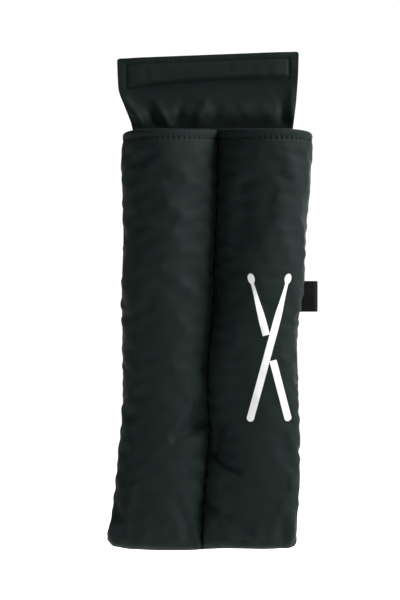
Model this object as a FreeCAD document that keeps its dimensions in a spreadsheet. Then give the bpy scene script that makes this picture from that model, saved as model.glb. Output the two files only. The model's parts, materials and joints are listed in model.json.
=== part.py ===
"""A two-tube drum stick bag with a hook-and-loop hanging flap and a webbing strap, in millimetres.

The frame: the origin is the middle of the flap's fold line, on the rear face of the back panel and level
with the mouths of the tubes. +X is the bag's left-to-right as seen from the front, +Y points out of the
back and +Z points up. The padded tubes bulge towards -Y.

Layers of a tube, from outside in: shell, foam, lining. All three follow one family of D-shaped sections,
each a chord on the back panel's inner face and an arc in front of it, inset by a layer's own offset.
"""
import FreeCAD, Part
import math
import os
import Sketcher

DRIVING_SIZES = {
    # The two tubes
    "tube_length": 335.0,
    "mouth_width": 154.0,
    "waist_width": 142.0,
    "foot_width": 152.0,
    "waist_drop": 190.0,
    "tube_depth": 38.0,
    "fullest_section": 1.08,
    "foot_depth": 36.0,
    "foot_rise": 30.0,
    "shoulder_depth": 26.0,
    "shoulder_rise": 14.0,
    "seam_depth": 4.0,
    "bottom_seam": 3.0,
    "straight_rim": 12.0,
    "lean": 13.0,
    "valley_gap": 0.3,
    # Fabric layers
    "shell_ply": 0.6,
    "foam_ply": 5.0,
    "back_foam_ply": 4.0,
    "lining_ply": 0.4,
    "hem_leg": 9.0,
    "print_film": 0.2,
    # Hanging flap
    "flap_ply": 0.6,
    "flap_root_drop": 14.0,
    "flap_root_width": 134.0,
    "flap_root_shift": 2.0,
    "flap_top_width": 149.0,
    "flap_top_shift": 8.0,
    "flap_shoulder_rise": 24.0,
    "flap_height": 64.4,
    "flap_fold_rise": 3.0,
    "fold_half_gap": 0.9,
    # Hook and loop tape on the flap and the back
    "tape_width": 19.0,
    "tape_length": 138.0,
    "tape_margin": 3.0,
    "hook_thickness": 1.6,
    "loop_thickness": 2.0,
    "closing_clearance": 1.1,
    # Webbing strap
    "webbing_width": 25.4,
    "webbing_thickness": 1.5,
    "strap_drop": 133.5,
    "strap_root_x": 18.0,
    "strap_reach_x": 83.0,
    "strap_inner_gap": 5.0,
    "strap_half_gap": 1.05,
    "strap_tail_x": 22.0,
    "patch_start_x": 26.0,
    "patch_length": 36.0,
    "patch_margin": 1.7,
    "patch_hook_thickness": 1.9,
    "patch_loop_thickness": 2.6,
    # Thread
    "thread_width": 0.7,
    "thread_height": 0.35,
    "stitch_length": 2.4,
    "stitch_pitch": 3.4,
    "stitch_lift": 0.02,
    "hem_stitch_drop": 7.0,
    "seam_inset": 2.0,
    "root_stitch_inset": 2.5,
    # Printed emblem of two crossed sticks
    "emblem_x": 41.0,
    "emblem_drop": 176.0,
    "emblem_length": 118.0,
    "emblem_butt": 6.0,
    "emblem_neck": 3.6,
    "emblem_bead": 3.6,
    "emblem_tilt": 15.0,
}

doc = FreeCAD.newDocument("DrumStickBag")
sheet = doc.addObject("Spreadsheet::Sheet", "Sizes")
for row, (alias, millimetres) in enumerate(DRIVING_SIZES.items(), start=1):
    sheet.set(f"A{row}", alias)
    sheet.set(f"B{row}", str(millimetres))
    sheet.setAlias(f"B{row}", alias)
doc.recompute()

parts = []


def number(expression):
    """The present value of an expression on the size sheet."""
    return float(sheet.evalExpression(expression))


def new_body(label, kept=True):
    """A part design body, which is a sub-part of its own unless it only serves another."""
    body = doc.addObject("PartDesign::Body", label)
    body.Label = label
    if kept:
        parts.append(body)
    return body


def sketch_on(body, role, name, place=("0", "0", "0")):
    """An empty sketch on one of the body's origin planes, moved by three expressions in the plane's axes."""
    sketch = body.newObject("Sketcher::SketchObject", name)
    plane = next(feature for feature in body.Origin.OriginFeatures if feature.Role == role)
    sketch.AttachmentSupport = (plane, [""])
    sketch.MapMode = "FlatFace"
    for axis, expression in zip("xyz", place):
        sketch.setExpression(f".AttachmentOffset.Base.{axis}", expression)
    return sketch


def bind(sketch, kind, places, expression):
    """Adds a dimension to a sketch and ties it to an expression."""
    index = sketch.addConstraint(Sketcher.Constraint(kind, *places, number(expression)))
    sketch.setExpression(f"Constraints[{index}]", expression)


def polygon_sketch(body, role, name, corners, outward="0"):
    """A closed outline whose corners are pairs of expressions, in order round the outline."""
    sketch = sketch_on(body, role, name, ("0", "0", outward))
    points = [FreeCAD.Vector(number(across), number(up), 0) for across, up in corners]
    for index, point in enumerate(points):
        sketch.addGeometry(Part.LineSegment(point, points[(index + 1) % len(points)]))
    for index, (across, up) in enumerate(corners):
        following = (index + 1) % len(corners)
        sketch.addConstraint(Sketcher.Constraint("Coincident", index, 2, following, 1))
        bind(sketch, "DistanceX", (-1, 1, index, 1), across)
        bind(sketch, "DistanceY", (-1, 1, index, 1), up)
    return sketch


def pad(body, sketch, length):
    """Thickens a sketch along its plane's normal."""
    feature = body.newObject("PartDesign::Pad", f"{sketch.Name}_pad")
    feature.Profile = sketch
    feature.setExpression("Length", length)
    return feature


def pocket(body, sketch, length):
    """Cuts a sketch into the body, along the reverse of its plane's normal."""
    feature = body.newObject("PartDesign::Pocket", f"{sketch.Name}_pocket")
    feature.Profile = sketch
    feature.setExpression("Length", length)
    return feature


def plate(label, corners, start, thickness):
    """A flat sub-part parallel to the back panel, from start towards -Y."""
    body = new_body(label)
    pad(body, polygon_sketch(body, "XZ_Plane", f"{label}_outline", corners, start), thickness)
    return body


def rectangle(left, right, low, high):
    """The corners of an upright rectangle from four expressions."""
    return [(left, low), (right, low), (right, high), (left, high)]


# ---- The family of D-shaped tube sections -------------------------------------------------------------

RIM = "Sizes.straight_rim"
LENGTH = "Sizes.tube_length"
BACK_DEPTH = "(Sizes.shell_ply + Sizes.back_foam_ply + Sizes.lining_ply)"
OUTSIDE = "0"
UNDER_SHELL = "Sizes.shell_ply"
UNDER_FOAM = "(Sizes.shell_ply + Sizes.foam_ply)"
UNDER_LINING = "(Sizes.shell_ply + Sizes.foam_ply + Sizes.lining_ply)"
UNDER_HEM = "(2 * Sizes.shell_ply + Sizes.foam_ply + Sizes.lining_ply)"
SIDES = {"left": -1, "right": 1}


def centre_at(drop):
    """The bag's middle in X at a drop below the mouth: the bag leans to one side below its straight rim."""
    return f"(-Sizes.lean * ({drop} - {RIM}) / ({LENGTH} - {RIM}))"


def width_at(drop):
    """The bag's full width at a drop below the waist."""
    return (f"(Sizes.waist_width + (Sizes.foot_width - Sizes.waist_width) * ({drop} - Sizes.waist_drop)"
            f" / ({LENGTH} - Sizes.waist_drop))")


def full_depth(width):
    """A tube's depth at a width of the bag: a section fuller than this would bulge into its neighbour."""
    return f"min(Sizes.tube_depth; Sizes.fullest_section * ({width} - Sizes.valley_gap) / 4)"


def stations(top, inset):
    """Drop, middle, full width and depth of each section of a tube layer, from the mouth to the seam."""
    mouth_depth = f"({full_depth('Sizes.mouth_width')} - {inset})"
    waist_depth = f"({full_depth('Sizes.waist_width')} - {inset})"
    foot = f"({LENGTH} - Sizes.foot_rise)"
    shoulder = f"({LENGTH} - Sizes.shoulder_rise)"
    seam = LENGTH if inset == OUTSIDE else f"({LENGTH} - Sizes.bottom_seam - {inset})"
    return [
        (top, "0", "Sizes.mouth_width", mouth_depth),
        (RIM, "0", "Sizes.mouth_width", mouth_depth),
        ("Sizes.waist_drop", centre_at("Sizes.waist_drop"), "Sizes.waist_width", waist_depth),
        (foot, centre_at(foot), width_at(foot), f"(Sizes.foot_depth - {inset})"),
        (shoulder, centre_at(shoulder), width_at(shoulder), f"(Sizes.shoulder_depth - {inset})"),
        (seam, centre_at(seam), width_at(seam), "Sizes.seam_depth"),
    ]


def d_section(body, name, side, drop, middle, width, depth, inset):
    """One section of a tube: a chord on the back panel's inner face and an arc bulging towards -Y."""
    tube_middle = f"{middle} + {side} * ({width} + Sizes.valley_gap) / 4"
    chord_width = f"({width} - Sizes.valley_gap) / 2 - 2 * {inset}"
    sketch = sketch_on(body, "XY_Plane", name, (tube_middle, f"-{BACK_DEPTH}", f"-{drop}"))
    half = number(chord_width) / 2
    deep = number(depth)
    left_end = FreeCAD.Vector(-half, 0, 0)
    right_end = FreeCAD.Vector(half, 0, 0)
    apex = FreeCAD.Vector(0, -deep, 0)
    sketch.addGeometry(Part.LineSegment(right_end, left_end))
    sketch.addGeometry(Part.Arc(left_end, apex, right_end))
    sketch.addGeometry(Part.Point(apex), True)
    sketch.addConstraint(Sketcher.Constraint("Coincident", 0, 2, 1, 1))
    sketch.addConstraint(Sketcher.Constraint("Coincident", 0, 1, 1, 2))
    sketch.addConstraint(Sketcher.Constraint("Symmetric", 0, 1, 0, 2, -1, 1))
    sketch.addConstraint(Sketcher.Constraint("Horizontal", 0))
    sketch.addConstraint(Sketcher.Constraint("PointOnObject", 2, 1, -2))
    sketch.addConstraint(Sketcher.Constraint("PointOnObject", 2, 1, 1))
    bind(sketch, "DistanceX", (0, 2, 0, 1), chord_width)
    bind(sketch, "DistanceY", (2, 1, -1, 1), depth)
    return sketch


def tube_loft(body, kind, side, top, inset):
    """A whole tube at one inset, added to or taken from a body, with straight runs between sections."""
    sections = [
        d_section(body, f"{body.Label}_{kind}_section", side, *station, inset)
        for station in stations(top, inset)
    ]
    feature = body.newObject(f"PartDesign::{kind}Loft", f"{body.Label}_{kind}")
    feature.Profile = sections[0]
    feature.Sections = sections[1:]
    feature.Ruled = True
    doc.recompute()
    return feature


def rim_section(body, name, side, drop, inset):
    """A section of the straight rim, at a drop below the mouth."""
    depth = f"({full_depth('Sizes.mouth_width')} - {inset})"
    return d_section(body, name, side, drop, "0", "Sizes.mouth_width", depth, inset)


def front_shell(name, side):
    """The outer cover of a tube, turned in over the rim as a hem."""
    body = new_body(f"{name}_front_shell")
    tube_loft(body, "Additive", side, "0", OUTSIDE)
    tube_loft(body, "Subtractive", side, "Sizes.shell_ply", UNDER_SHELL)
    hem = rim_section(body, f"{name}_hem_outer", side, "Sizes.hem_leg", UNDER_LINING)
    pad(body, hem, "Sizes.hem_leg")
    mouth = rim_section(body, f"{name}_hem_inner", side, "0", UNDER_HEM)
    pocket(body, mouth, "Sizes.hem_leg")


def front_layer(label, side, outer, inner):
    """A soft layer of a tube between two insets, below the hem's turn."""
    body = new_body(label)
    tube_loft(body, "Additive", side, "Sizes.shell_ply", outer)
    tube_loft(body, "Subtractive", side, "Sizes.shell_ply", inner)


# ---- Back panel ---------------------------------------------------------------------------------------

def back_outline(top):
    """The back panel's outline, which is the outline of the two tubes together."""
    left = []
    right = []
    rows = [
        (top, "0", "Sizes.mouth_width"),
        (RIM, "0", "Sizes.mouth_width"),
        ("Sizes.waist_drop", centre_at("Sizes.waist_drop"), "Sizes.waist_width"),
        (LENGTH, centre_at(LENGTH), "Sizes.foot_width"),
    ]
    for drop, middle, width in rows:
        left.append((f"{middle} - {width} / 2", f"-{drop}"))
        right.append((f"{middle} + {width} / 2", f"-{drop}"))
    return left + right[::-1]


def back_panel():
    """The three flat layers of the back. The cover turns over the top of the other two."""
    shell = plate("back_shell", back_outline("0"), "0", "Sizes.shell_ply")
    turn = rectangle("-Sizes.mouth_width / 2", "Sizes.mouth_width / 2", "-Sizes.shell_ply", "0")
    turn_sketch = polygon_sketch(shell, "XZ_Plane", "back_shell_turn", turn)
    pad(shell, turn_sketch, BACK_DEPTH)
    plate("back_padding", back_outline("Sizes.shell_ply"), "Sizes.shell_ply", "Sizes.back_foam_ply")
    lining_start = "Sizes.shell_ply + Sizes.back_foam_ply"
    plate("back_lining", back_outline("Sizes.shell_ply"), lining_start, "Sizes.lining_ply")


# ---- Hanging flap -------------------------------------------------------------------------------------

FLAP_THICKNESS = "(2 * Sizes.flap_ply)"
FOLD = "Sizes.flap_fold_rise"
FOLD_SPAN = "(Sizes.hook_thickness + Sizes.loop_thickness + Sizes.closing_clearance)"
GAP = "Sizes.fold_half_gap"
ROOT_LEFT = "(-Sizes.flap_root_shift - Sizes.flap_root_width / 2)"
ROOT_RIGHT = "(-Sizes.flap_root_shift + Sizes.flap_root_width / 2)"
TOP_LEFT = "(-Sizes.flap_top_shift - Sizes.flap_top_width / 2)"
TOP_RIGHT = "(-Sizes.flap_top_shift + Sizes.flap_top_width / 2)"
TAPE_LEFT = "(-Sizes.flap_top_shift - Sizes.tape_length / 2)"
TAPE_RIGHT = "(-Sizes.flap_top_shift + Sizes.tape_length / 2)"
HOOK_HIGH = "(Sizes.flap_height - Sizes.tape_margin)"
HOOK_LOW = f"({HOOK_HIGH} - Sizes.tape_width)"
FOLDED = f"(2 * {FOLD} + {FOLD_SPAN})"
LOOP_HIGH = f"({FOLDED} - {HOOK_LOW})"
LOOP_LOW = f"({FOLDED} - {HOOK_HIGH})"


def flap_root_and_bend():
    """The sewn root of the flap on the back panel, and the short stretch of fabric that folds."""
    root = rectangle(ROOT_LEFT, ROOT_RIGHT, "-Sizes.flap_root_drop", f"{FOLD} - {GAP}")
    plate("flap_base", root, f"-{FLAP_THICKNESS}", FLAP_THICKNESS)
    bend = rectangle(ROOT_LEFT, ROOT_RIGHT, f"{FOLD} + {GAP}", f"{FOLD} + {FOLD_SPAN} - {GAP}")
    plate("flap_bend_fabric", bend, f"-{FLAP_THICKNESS}", FLAP_THICKNESS)


def flap_sheet():
    """The two plies of the flap, which flare from the fold to a wider top edge."""
    low = f"{FOLD} + {FOLD_SPAN} + {GAP}"
    outline = [
        (ROOT_LEFT, low),
        (ROOT_RIGHT, low),
        (TOP_RIGHT, "Sizes.flap_shoulder_rise"),
        (TOP_RIGHT, "Sizes.flap_height"),
        (TOP_LEFT, "Sizes.flap_height"),
        (TOP_LEFT, "Sizes.flap_shoulder_rise"),
    ]
    plate("flap_rear_ply", outline, f"-{FLAP_THICKNESS}", "Sizes.flap_ply")
    plate("flap_front_ply", outline, "-Sizes.flap_ply", "Sizes.flap_ply")


def flap_tapes():
    """The hook tape on the rear of the flap and the loop tape that it meets on the back panel."""
    hook_start = f"-({FLAP_THICKNESS} + Sizes.hook_thickness)"
    hook_outline = rectangle(TAPE_LEFT, TAPE_RIGHT, HOOK_LOW, HOOK_HIGH)
    plate("hook_strip", hook_outline, hook_start, "Sizes.hook_thickness")
    loop_outline = rectangle(TAPE_LEFT, TAPE_RIGHT, LOOP_LOW, LOOP_HIGH)
    plate("loop_strip", loop_outline, "-Sizes.loop_thickness", "Sizes.loop_thickness")


# ---- Webbing strap ------------------------------------------------------------------------------------

STRAP_LOW = "(-Sizes.strap_drop - Sizes.webbing_width / 2)"
STRAP_HIGH = "(-Sizes.strap_drop + Sizes.webbing_width / 2)"
BEND_X = "(Sizes.strap_reach_x - Sizes.webbing_thickness - Sizes.strap_inner_gap / 2)"
STRAP_FOLD_X = f"({BEND_X} - Sizes.strap_half_gap)"
TONGUE_FACE = "(Sizes.webbing_thickness + Sizes.strap_inner_gap)"
PATCH_LOW = f"({STRAP_LOW} + Sizes.patch_margin)"
PATCH_HIGH = f"({STRAP_HIGH} - Sizes.patch_margin)"
PATCH_RIGHT = "(Sizes.patch_start_x + Sizes.patch_length)"


def strap_runs():
    """The strap's root on the back panel, and the tongue that lies behind it when the strap is closed."""
    end = f"{STRAP_FOLD_X} - Sizes.strap_half_gap"
    root = rectangle("Sizes.strap_root_x", end, STRAP_LOW, STRAP_HIGH)
    plate("strap_base", root, "-Sizes.webbing_thickness", "Sizes.webbing_thickness")
    tongue = rectangle("Sizes.strap_tail_x", end, STRAP_LOW, STRAP_HIGH)
    tongue_start = f"-({TONGUE_FACE} + Sizes.webbing_thickness)"
    plate("strap_tongue_webbing", tongue, tongue_start, "Sizes.webbing_thickness")


def strap_bend():
    """The turn of the webbing at the side of the bag: half a ring, standing on its lower edge."""
    body = new_body("strap_bend_webbing")
    ring_middle = f"{TONGUE_FACE} - Sizes.strap_inner_gap / 2"
    inner = "(Sizes.strap_inner_gap / 2)"
    outer = f"({inner} + Sizes.webbing_thickness)"
    sketch = sketch_on(body, "XY_Plane", "strap_bend_outline", (BEND_X, ring_middle, STRAP_LOW))
    start = FreeCAD.Vector(0, -1, 0)
    side = FreeCAD.Vector(1, 0, 0)
    stop = FreeCAD.Vector(0, 1, 0)
    small = number(inner)
    large = number(outer)
    sketch.addGeometry(Part.Arc(start * small, side * small, stop * small))
    sketch.addGeometry(Part.Arc(start * large, side * large, stop * large))
    sketch.addGeometry(Part.LineSegment(start * small, start * large))
    sketch.addGeometry(Part.LineSegment(stop * small, stop * large))
    for line, inner_end in ((2, 1), (3, 2)):
        sketch.addConstraint(Sketcher.Constraint("Coincident", line, 1, 0, inner_end))
        sketch.addConstraint(Sketcher.Constraint("Coincident", line, 2, 1, inner_end))
        sketch.addConstraint(Sketcher.Constraint("PointOnObject", line, 1, -2))
    sketch.addConstraint(Sketcher.Constraint("Coincident", 0, 3, -1, 1))
    sketch.addConstraint(Sketcher.Constraint("Coincident", 1, 3, -1, 1))
    bind(sketch, "Radius", (0,), inner)
    bind(sketch, "Radius", (1,), outer)
    pad(body, sketch, "Sizes.webbing_width")


def strap_patches():
    """The loop patch on the strap's root and the hook patch on the tongue's inner face."""
    patch = rectangle("Sizes.patch_start_x", PATCH_RIGHT, PATCH_LOW, PATCH_HIGH)
    loop_start = "-(Sizes.webbing_thickness + Sizes.patch_loop_thickness)"
    plate("strap_loop_patch", patch, loop_start, "Sizes.patch_loop_thickness")
    plate("strap_hook_patch", patch, f"-{TONGUE_FACE}", "Sizes.patch_hook_thickness")


# ---- Printed emblem -----------------------------------------------------------------------------------

def emblem_stick(body, name, turn):
    """One printed stick: a tapered shaft and the round bead at its tip, turned away from upright."""
    angle = f"({turn} * Sizes.emblem_tilt)"
    half = "Sizes.emblem_length / 2"
    middle = ("Sizes.emblem_x", "-Sizes.emblem_drop")

    def place(along, across):
        """A point of the stick from its middle, by distances along and across it."""
        return (f"{middle[0]} + ({along}) * sin({angle}) + ({across}) * cos({angle})",
                f"{middle[1]} + ({along}) * cos({angle}) - ({across}) * sin({angle})")

    corners = [
        place(f"-{half}", "-Sizes.emblem_butt / 2"),
        place(f"-{half}", "Sizes.emblem_butt / 2"),
        place(half, "Sizes.emblem_neck / 2"),
        place(half, "-Sizes.emblem_neck / 2"),
    ]
    through = "Sizes.tube_depth + Sizes.print_film"
    shaft = polygon_sketch(body, "XZ_Plane", f"{name}_shaft", corners, BACK_DEPTH)
    pad(body, shaft, through)
    bead = sketch_on(body, "XZ_Plane", f"{name}_bead", (*place(half, "0"), BACK_DEPTH))
    bead.addGeometry(Part.Circle(FreeCAD.Vector(), FreeCAD.Vector(0, 0, 1), number("Sizes.emblem_bead")))
    bead.addConstraint(Sketcher.Constraint("Coincident", 0, 3, -1, 1))
    bind(bead, "Radius", (0,), "Sizes.emblem_bead")
    pad(body, bead, through)


def printed_emblem():
    """The emblem's ink: the part of a thin film on the right tube that lies inside the crossed sticks."""
    film = new_body("print_film_body", kept=False)
    tube_loft(film, "Additive", SIDES["right"], "0", "(-Sizes.print_film)")
    tube_loft(film, "Subtractive", SIDES["right"], "0", OUTSIDE)
    sticks = new_body("emblem_sticks_body", kept=False)
    emblem_stick(sticks, "rising", 1)
    emblem_stick(sticks, "falling", -1)
    emblem = doc.addObject("Part::Common", "printed_emblem")
    emblem.Label = "printed_emblem"
    emblem.Base = film
    emblem.Tool = sticks
    parts.append(emblem)


# ---- Stitching ----------------------------------------------------------------------------------------

def stitch(place, turn):
    """One thread stitch as a small bar, lying along the local X axis and standing out along local -Y."""
    length = number("Sizes.stitch_length")
    wide = number("Sizes.thread_width")
    tall = number("Sizes.thread_height")
    bar = Part.makeBox(length, tall, wide, FreeCAD.Vector(-length / 2, -tall, -wide / 2))
    bar.Placement = FreeCAD.Placement(place, turn)
    return bar


def straight_row(start, end, face, outward):
    """Stitches in a straight row between two (x, z) points on a flat face that looks along +Y or -Y."""
    run = FreeCAD.Vector(end[0] - start[0], 0, end[1] - start[1])
    pitch = number("Sizes.stitch_pitch")
    count = max(1, int((run.Length - number("Sizes.stitch_length")) / pitch) + 1)
    first = FreeCAD.Vector(start[0], face, start[1])
    slope = FreeCAD.Rotation(FreeCAD.Vector(0, 1, 0), -math.degrees(math.atan2(run.z, run.x)))
    facing = FreeCAD.Rotation(FreeCAD.Vector(1, 0, 0), 180 if outward > 0 else 0)
    spare = (run.Length - (count - 1) * pitch) / 2
    direction = FreeCAD.Vector(run).normalize()
    return [stitch(first + direction * (spare + index * pitch), slope * facing) for index in range(count)]


def stitch_box(left, right, low, high, face, outward):
    """Four rows of stitches round a rectangle, with the upright rows clear of the level ones."""
    clear = number("Sizes.thread_width")
    rows = [((left, low), (right, low)), ((left, high), (right, high))]
    rows += [((side, low + clear), (side, high - clear)) for side in (left, right)]
    bars = []
    for start, end in rows:
        bars += straight_row(start, end, face, outward)
    return bars


def tape_box(left, right, low, high, face, outward):
    """A stitched box a seam inset inside the edges of a tape or patch, from expressions."""
    inset = number("Sizes.seam_inset")
    return stitch_box(number(left) + inset, number(right) - inset, number(low) + inset, number(high) - inset,
                      number(face), outward)


def add_stitching(label, bars):
    """Groups separate stitches into one sub-part."""
    feature = doc.addObject("Part::Feature", label)
    feature.Label = label
    feature.Shape = Part.makeCompound(bars)
    parts.append(feature)


def hem_stitching(name, side):
    """The row round a tube's mouth, a little way below the rim."""
    half = number("(Sizes.mouth_width - Sizes.valley_gap) / 4")
    deep = number(full_depth("Sizes.mouth_width"))
    radius = (half ** 2 + deep ** 2) / (2 * deep)
    middle = FreeCAD.Vector(side * number("(Sizes.mouth_width + Sizes.valley_gap) / 4"),
                            -number(BACK_DEPTH) - deep + radius, -number("Sizes.hem_stitch_drop"))
    reach = math.degrees(math.asin(min(1.0, half / radius)))
    step = math.degrees(number("Sizes.stitch_pitch") / radius)
    count = int((reach - step) / step)
    bars = []
    for index in range(-count, count + 1):
        turn = FreeCAD.Rotation(FreeCAD.Vector(0, 0, 1), index * step)
        out = turn.multVec(FreeCAD.Vector(0, -radius - number("Sizes.stitch_lift"), 0))
        bars.append(stitch(middle + out, turn))
    add_stitching(f"{name}_hem_stitching", bars)


def centre_seam_stitching():
    """The seam between the tubes, seen on the back, which stops at the flap's root and skips the tapes."""
    inset = number("Sizes.seam_inset")
    runs = [
        (-number("Sizes.flap_root_drop") - inset, number(LOOP_HIGH) + inset),
        (number(LOOP_LOW) - inset, -number(LENGTH) + 2 * inset),
    ]
    rows = []
    for high, low in runs:
        if high - low > number("Sizes.stitch_pitch"):
            high_x = number(centre_at(str(max(-high, number(RIM)))))
            low_x = number(centre_at(str(max(-low, number(RIM)))))
            rows += straight_row((high_x, high), (low_x, low), 0.0, 1)
    add_stitching("centre_seam_stitching", rows)


def flat_stitching():
    """The stitched boxes of the tapes, the patches, the flap's root and the strap's root.

    The hook tape's thread stands out on the flap's front only: behind, it lies buried among the hooks.
    """
    add_stitching("hook_strip_stitching", tape_box(TAPE_LEFT, TAPE_RIGHT, HOOK_LOW, HOOK_HIGH, "0", -1))
    add_stitching("loop_strip_stitching",
                  tape_box(TAPE_LEFT, TAPE_RIGHT, LOOP_LOW, LOOP_HIGH, "Sizes.loop_thickness", 1))
    inset = number("Sizes.root_stitch_inset")
    root = (number(ROOT_LEFT) + inset, number(ROOT_RIGHT) - inset,
            inset - number("Sizes.flap_root_drop"), -inset, number(FLAP_THICKNESS))
    add_stitching("flap_base_stitching", stitch_box(*root, 1))
    strap_root_end = "Sizes.patch_start_x"
    webbing_face = "Sizes.webbing_thickness"
    root_box = tape_box("Sizes.strap_root_x - Sizes.seam_inset", f"{strap_root_end} + Sizes.seam_inset / 2",
                        STRAP_LOW, STRAP_HIGH, webbing_face, 1)
    patch_face = "Sizes.webbing_thickness + Sizes.patch_loop_thickness"
    patch_box = tape_box("Sizes.patch_start_x", PATCH_RIGHT, PATCH_LOW, PATCH_HIGH, patch_face, 1)
    add_stitching("strap_base_stitching", root_box + patch_box)
    tongue_rear = f"{TONGUE_FACE} + Sizes.webbing_thickness"
    add_stitching("strap_patch_stitching",
                  tape_box("Sizes.patch_start_x", PATCH_RIGHT, PATCH_LOW, PATCH_HIGH, tongue_rear, 1))


# ---- The whole bag ------------------------------------------------------------------------------------

for side_name, side_sign in SIDES.items():
    front_shell(side_name, side_sign)
    front_layer(f"{side_name}_front_padding", side_sign, UNDER_SHELL, UNDER_FOAM)
    front_layer(f"{side_name}_front_lining", side_sign, UNDER_FOAM, UNDER_LINING)
    hem_stitching(side_name, side_sign)
back_panel()
flap_root_and_bend()
flap_sheet()
flap_tapes()
strap_runs()
strap_bend()
strap_patches()
printed_emblem()
centre_seam_stitching()
flat_stitching()
doc.recompute()

failed = [item.Name for item in doc.Objects if {"Invalid", "Error"} & set(item.State)]
failed += [piece.Label for piece in parts if piece.Shape.isNull() or not piece.Shape.isValid()]
failed += [piece.Label for piece in parts if not piece.Shape.Solids]
if failed:
    raise RuntimeError(f"these objects failed: {failed}")

os.makedirs("parts", exist_ok=True)
for piece in parts:
    piece.Shape.exportStep(f"parts/{piece.Label}.step")
    box = piece.Shape.BoundBox
    print(f"{piece.Label:26s} solids {len(piece.Shape.Solids):4d}  volume {piece.Shape.Volume:10.1f}"
          f"  x {box.XMin:7.1f} {box.XMax:7.1f}  y {box.YMin:6.1f} {box.YMax:6.1f}"
          f"  z {box.ZMin:7.1f} {box.ZMax:7.1f}")
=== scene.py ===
"""A two-tube drum stick bag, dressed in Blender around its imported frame. All sizes are in metres.

The frame's origin is the middle of the flap's fold line, on the rear face of the back panel and level with
the mouths of the tubes. +X is to the right as seen from the front, +Y points out of the back, +Z is up.
"""
import json
import logging
from dataclasses import dataclass, field
from enum import Enum
from typing import Callable, Iterable, Optional, Sequence, Union

import bpy
import numpy as np
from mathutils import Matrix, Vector
from mathutils.bvhtree import BVHTree


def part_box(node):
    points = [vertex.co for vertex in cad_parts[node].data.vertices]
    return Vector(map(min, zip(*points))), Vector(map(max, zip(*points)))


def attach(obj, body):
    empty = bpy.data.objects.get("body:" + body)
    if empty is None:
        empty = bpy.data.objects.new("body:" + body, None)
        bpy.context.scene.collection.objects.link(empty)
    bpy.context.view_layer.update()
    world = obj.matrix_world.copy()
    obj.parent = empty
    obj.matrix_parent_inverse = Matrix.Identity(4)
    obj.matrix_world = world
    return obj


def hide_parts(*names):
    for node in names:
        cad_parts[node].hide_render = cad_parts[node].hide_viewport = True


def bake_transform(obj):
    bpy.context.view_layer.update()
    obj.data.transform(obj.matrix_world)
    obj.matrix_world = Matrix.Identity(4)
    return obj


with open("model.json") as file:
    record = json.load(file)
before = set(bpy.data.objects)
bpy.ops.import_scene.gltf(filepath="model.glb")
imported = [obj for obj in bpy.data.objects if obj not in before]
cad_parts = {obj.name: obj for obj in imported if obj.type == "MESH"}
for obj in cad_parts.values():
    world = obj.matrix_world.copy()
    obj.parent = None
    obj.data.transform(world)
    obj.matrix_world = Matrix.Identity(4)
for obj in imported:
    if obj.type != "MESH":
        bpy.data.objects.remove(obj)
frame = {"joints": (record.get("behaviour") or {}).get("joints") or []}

Array = np.ndarray
Object = bpy.types.Object
Material = bpy.types.Material
Socket = bpy.types.NodeSocket
Stations = Sequence[tuple[float, float]]
Placing = Callable[[Array, Array, Array], Array]
LOG = logging.getLogger("stick_bag")
MM = 0.001
TURN = 2.0 * np.pi


class Side(Enum):
    """A tube, by its sign in X."""
    LEFT = -1
    RIGHT = 1


class Facing(Enum):
    """The way a flat piece looks, by its sign in Y."""
    FRONT = -1
    REAR = 1


# ---- Small tools for meshes ---------------------------------------------------------------------------

def smooth_step(value: Array, low: float, high: float) -> Array:
    """Rises smoothly from 0 at low to 1 at high.

    Args:
        value: Where to read the step.
        low: The value at which it starts.
        high: The value at which it ends, which may be below low.

    Returns:
        The height of the step at each value.
    """
    share = np.clip((np.asarray(value, float) - low) / (high - low), 0.0, 1.0)
    return share * share * (3.0 - 2.0 * share)


def undulation(across: Array, along: Array, size: float, seed: int, waves: int = 7) -> Array:
    """A soft uneven field, as cloth has, made of a few crossing waves.

    Args:
        across: First surface coordinate of each point.
        along: Second surface coordinate of each point.
        size: Typical distance from crest to crest.
        seed: Picks the waves.
        waves: How many waves are added.

    Returns:
        Heights of about -1 to 1.
    """
    draw = np.random.default_rng(seed)
    total = np.zeros(np.broadcast(across, along).shape)
    for _ in range(waves):
        turn = draw.uniform(0.0, np.pi)
        rate = 2.0 * np.pi / (size * draw.uniform(0.7, 1.5))
        phase = draw.uniform(0.0, 2.0 * np.pi)
        total = total + np.sin(rate * (across * np.cos(turn) + along * np.sin(turn)) + phase)
    return total / np.sqrt(2.0 * waves)


def rounded(share: Array) -> Array:
    """A quarter-round profile, which rises steeply from 0 at share 0 to 1 at share 1 and stays there."""
    inside = np.clip(share, 0.0, 1.0)
    return np.sqrt(inside * (2.0 - inside))


def beside_line(x: Array, y: Array, start: tuple[float, float], end: tuple[float, float]
                ) -> tuple[Array, Array]:
    """Measures points against a straight run.

    Args:
        x: First coordinate of each point.
        y: Second coordinate of each point.
        start: Where the run starts.
        end: Where it ends.

    Returns:
        The share of the run beside each point, 0 to 1, and the way from there to the point.
    """
    first = np.array(start)
    run = np.array(end) - first
    place = np.stack(np.broadcast_arrays(x, y), axis=-1) - first
    share = np.clip(place @ run / run.dot(run), 0.0, 1.0)
    return share, place - share[..., None] * run


def grid_normals(points: Array) -> Array:
    """Unit normals of a grid of points, rows first, by the right-hand rule from columns to rows."""
    normal = np.cross(np.gradient(points, axis=1), np.gradient(points, axis=0))
    return normal / np.maximum(np.linalg.norm(normal, axis=2, keepdims=True), 1e-12)


def grid_faces(rows: int, columns: int, start: int = 0) -> Array:
    """The quads of a grid whose points are numbered row by row from start."""
    first = (np.arange(rows - 1)[:, None] * columns + np.arange(columns - 1)[None, :]).ravel() + start
    return np.stack([first, first + 1, first + columns + 1, first + columns], axis=1)


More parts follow.
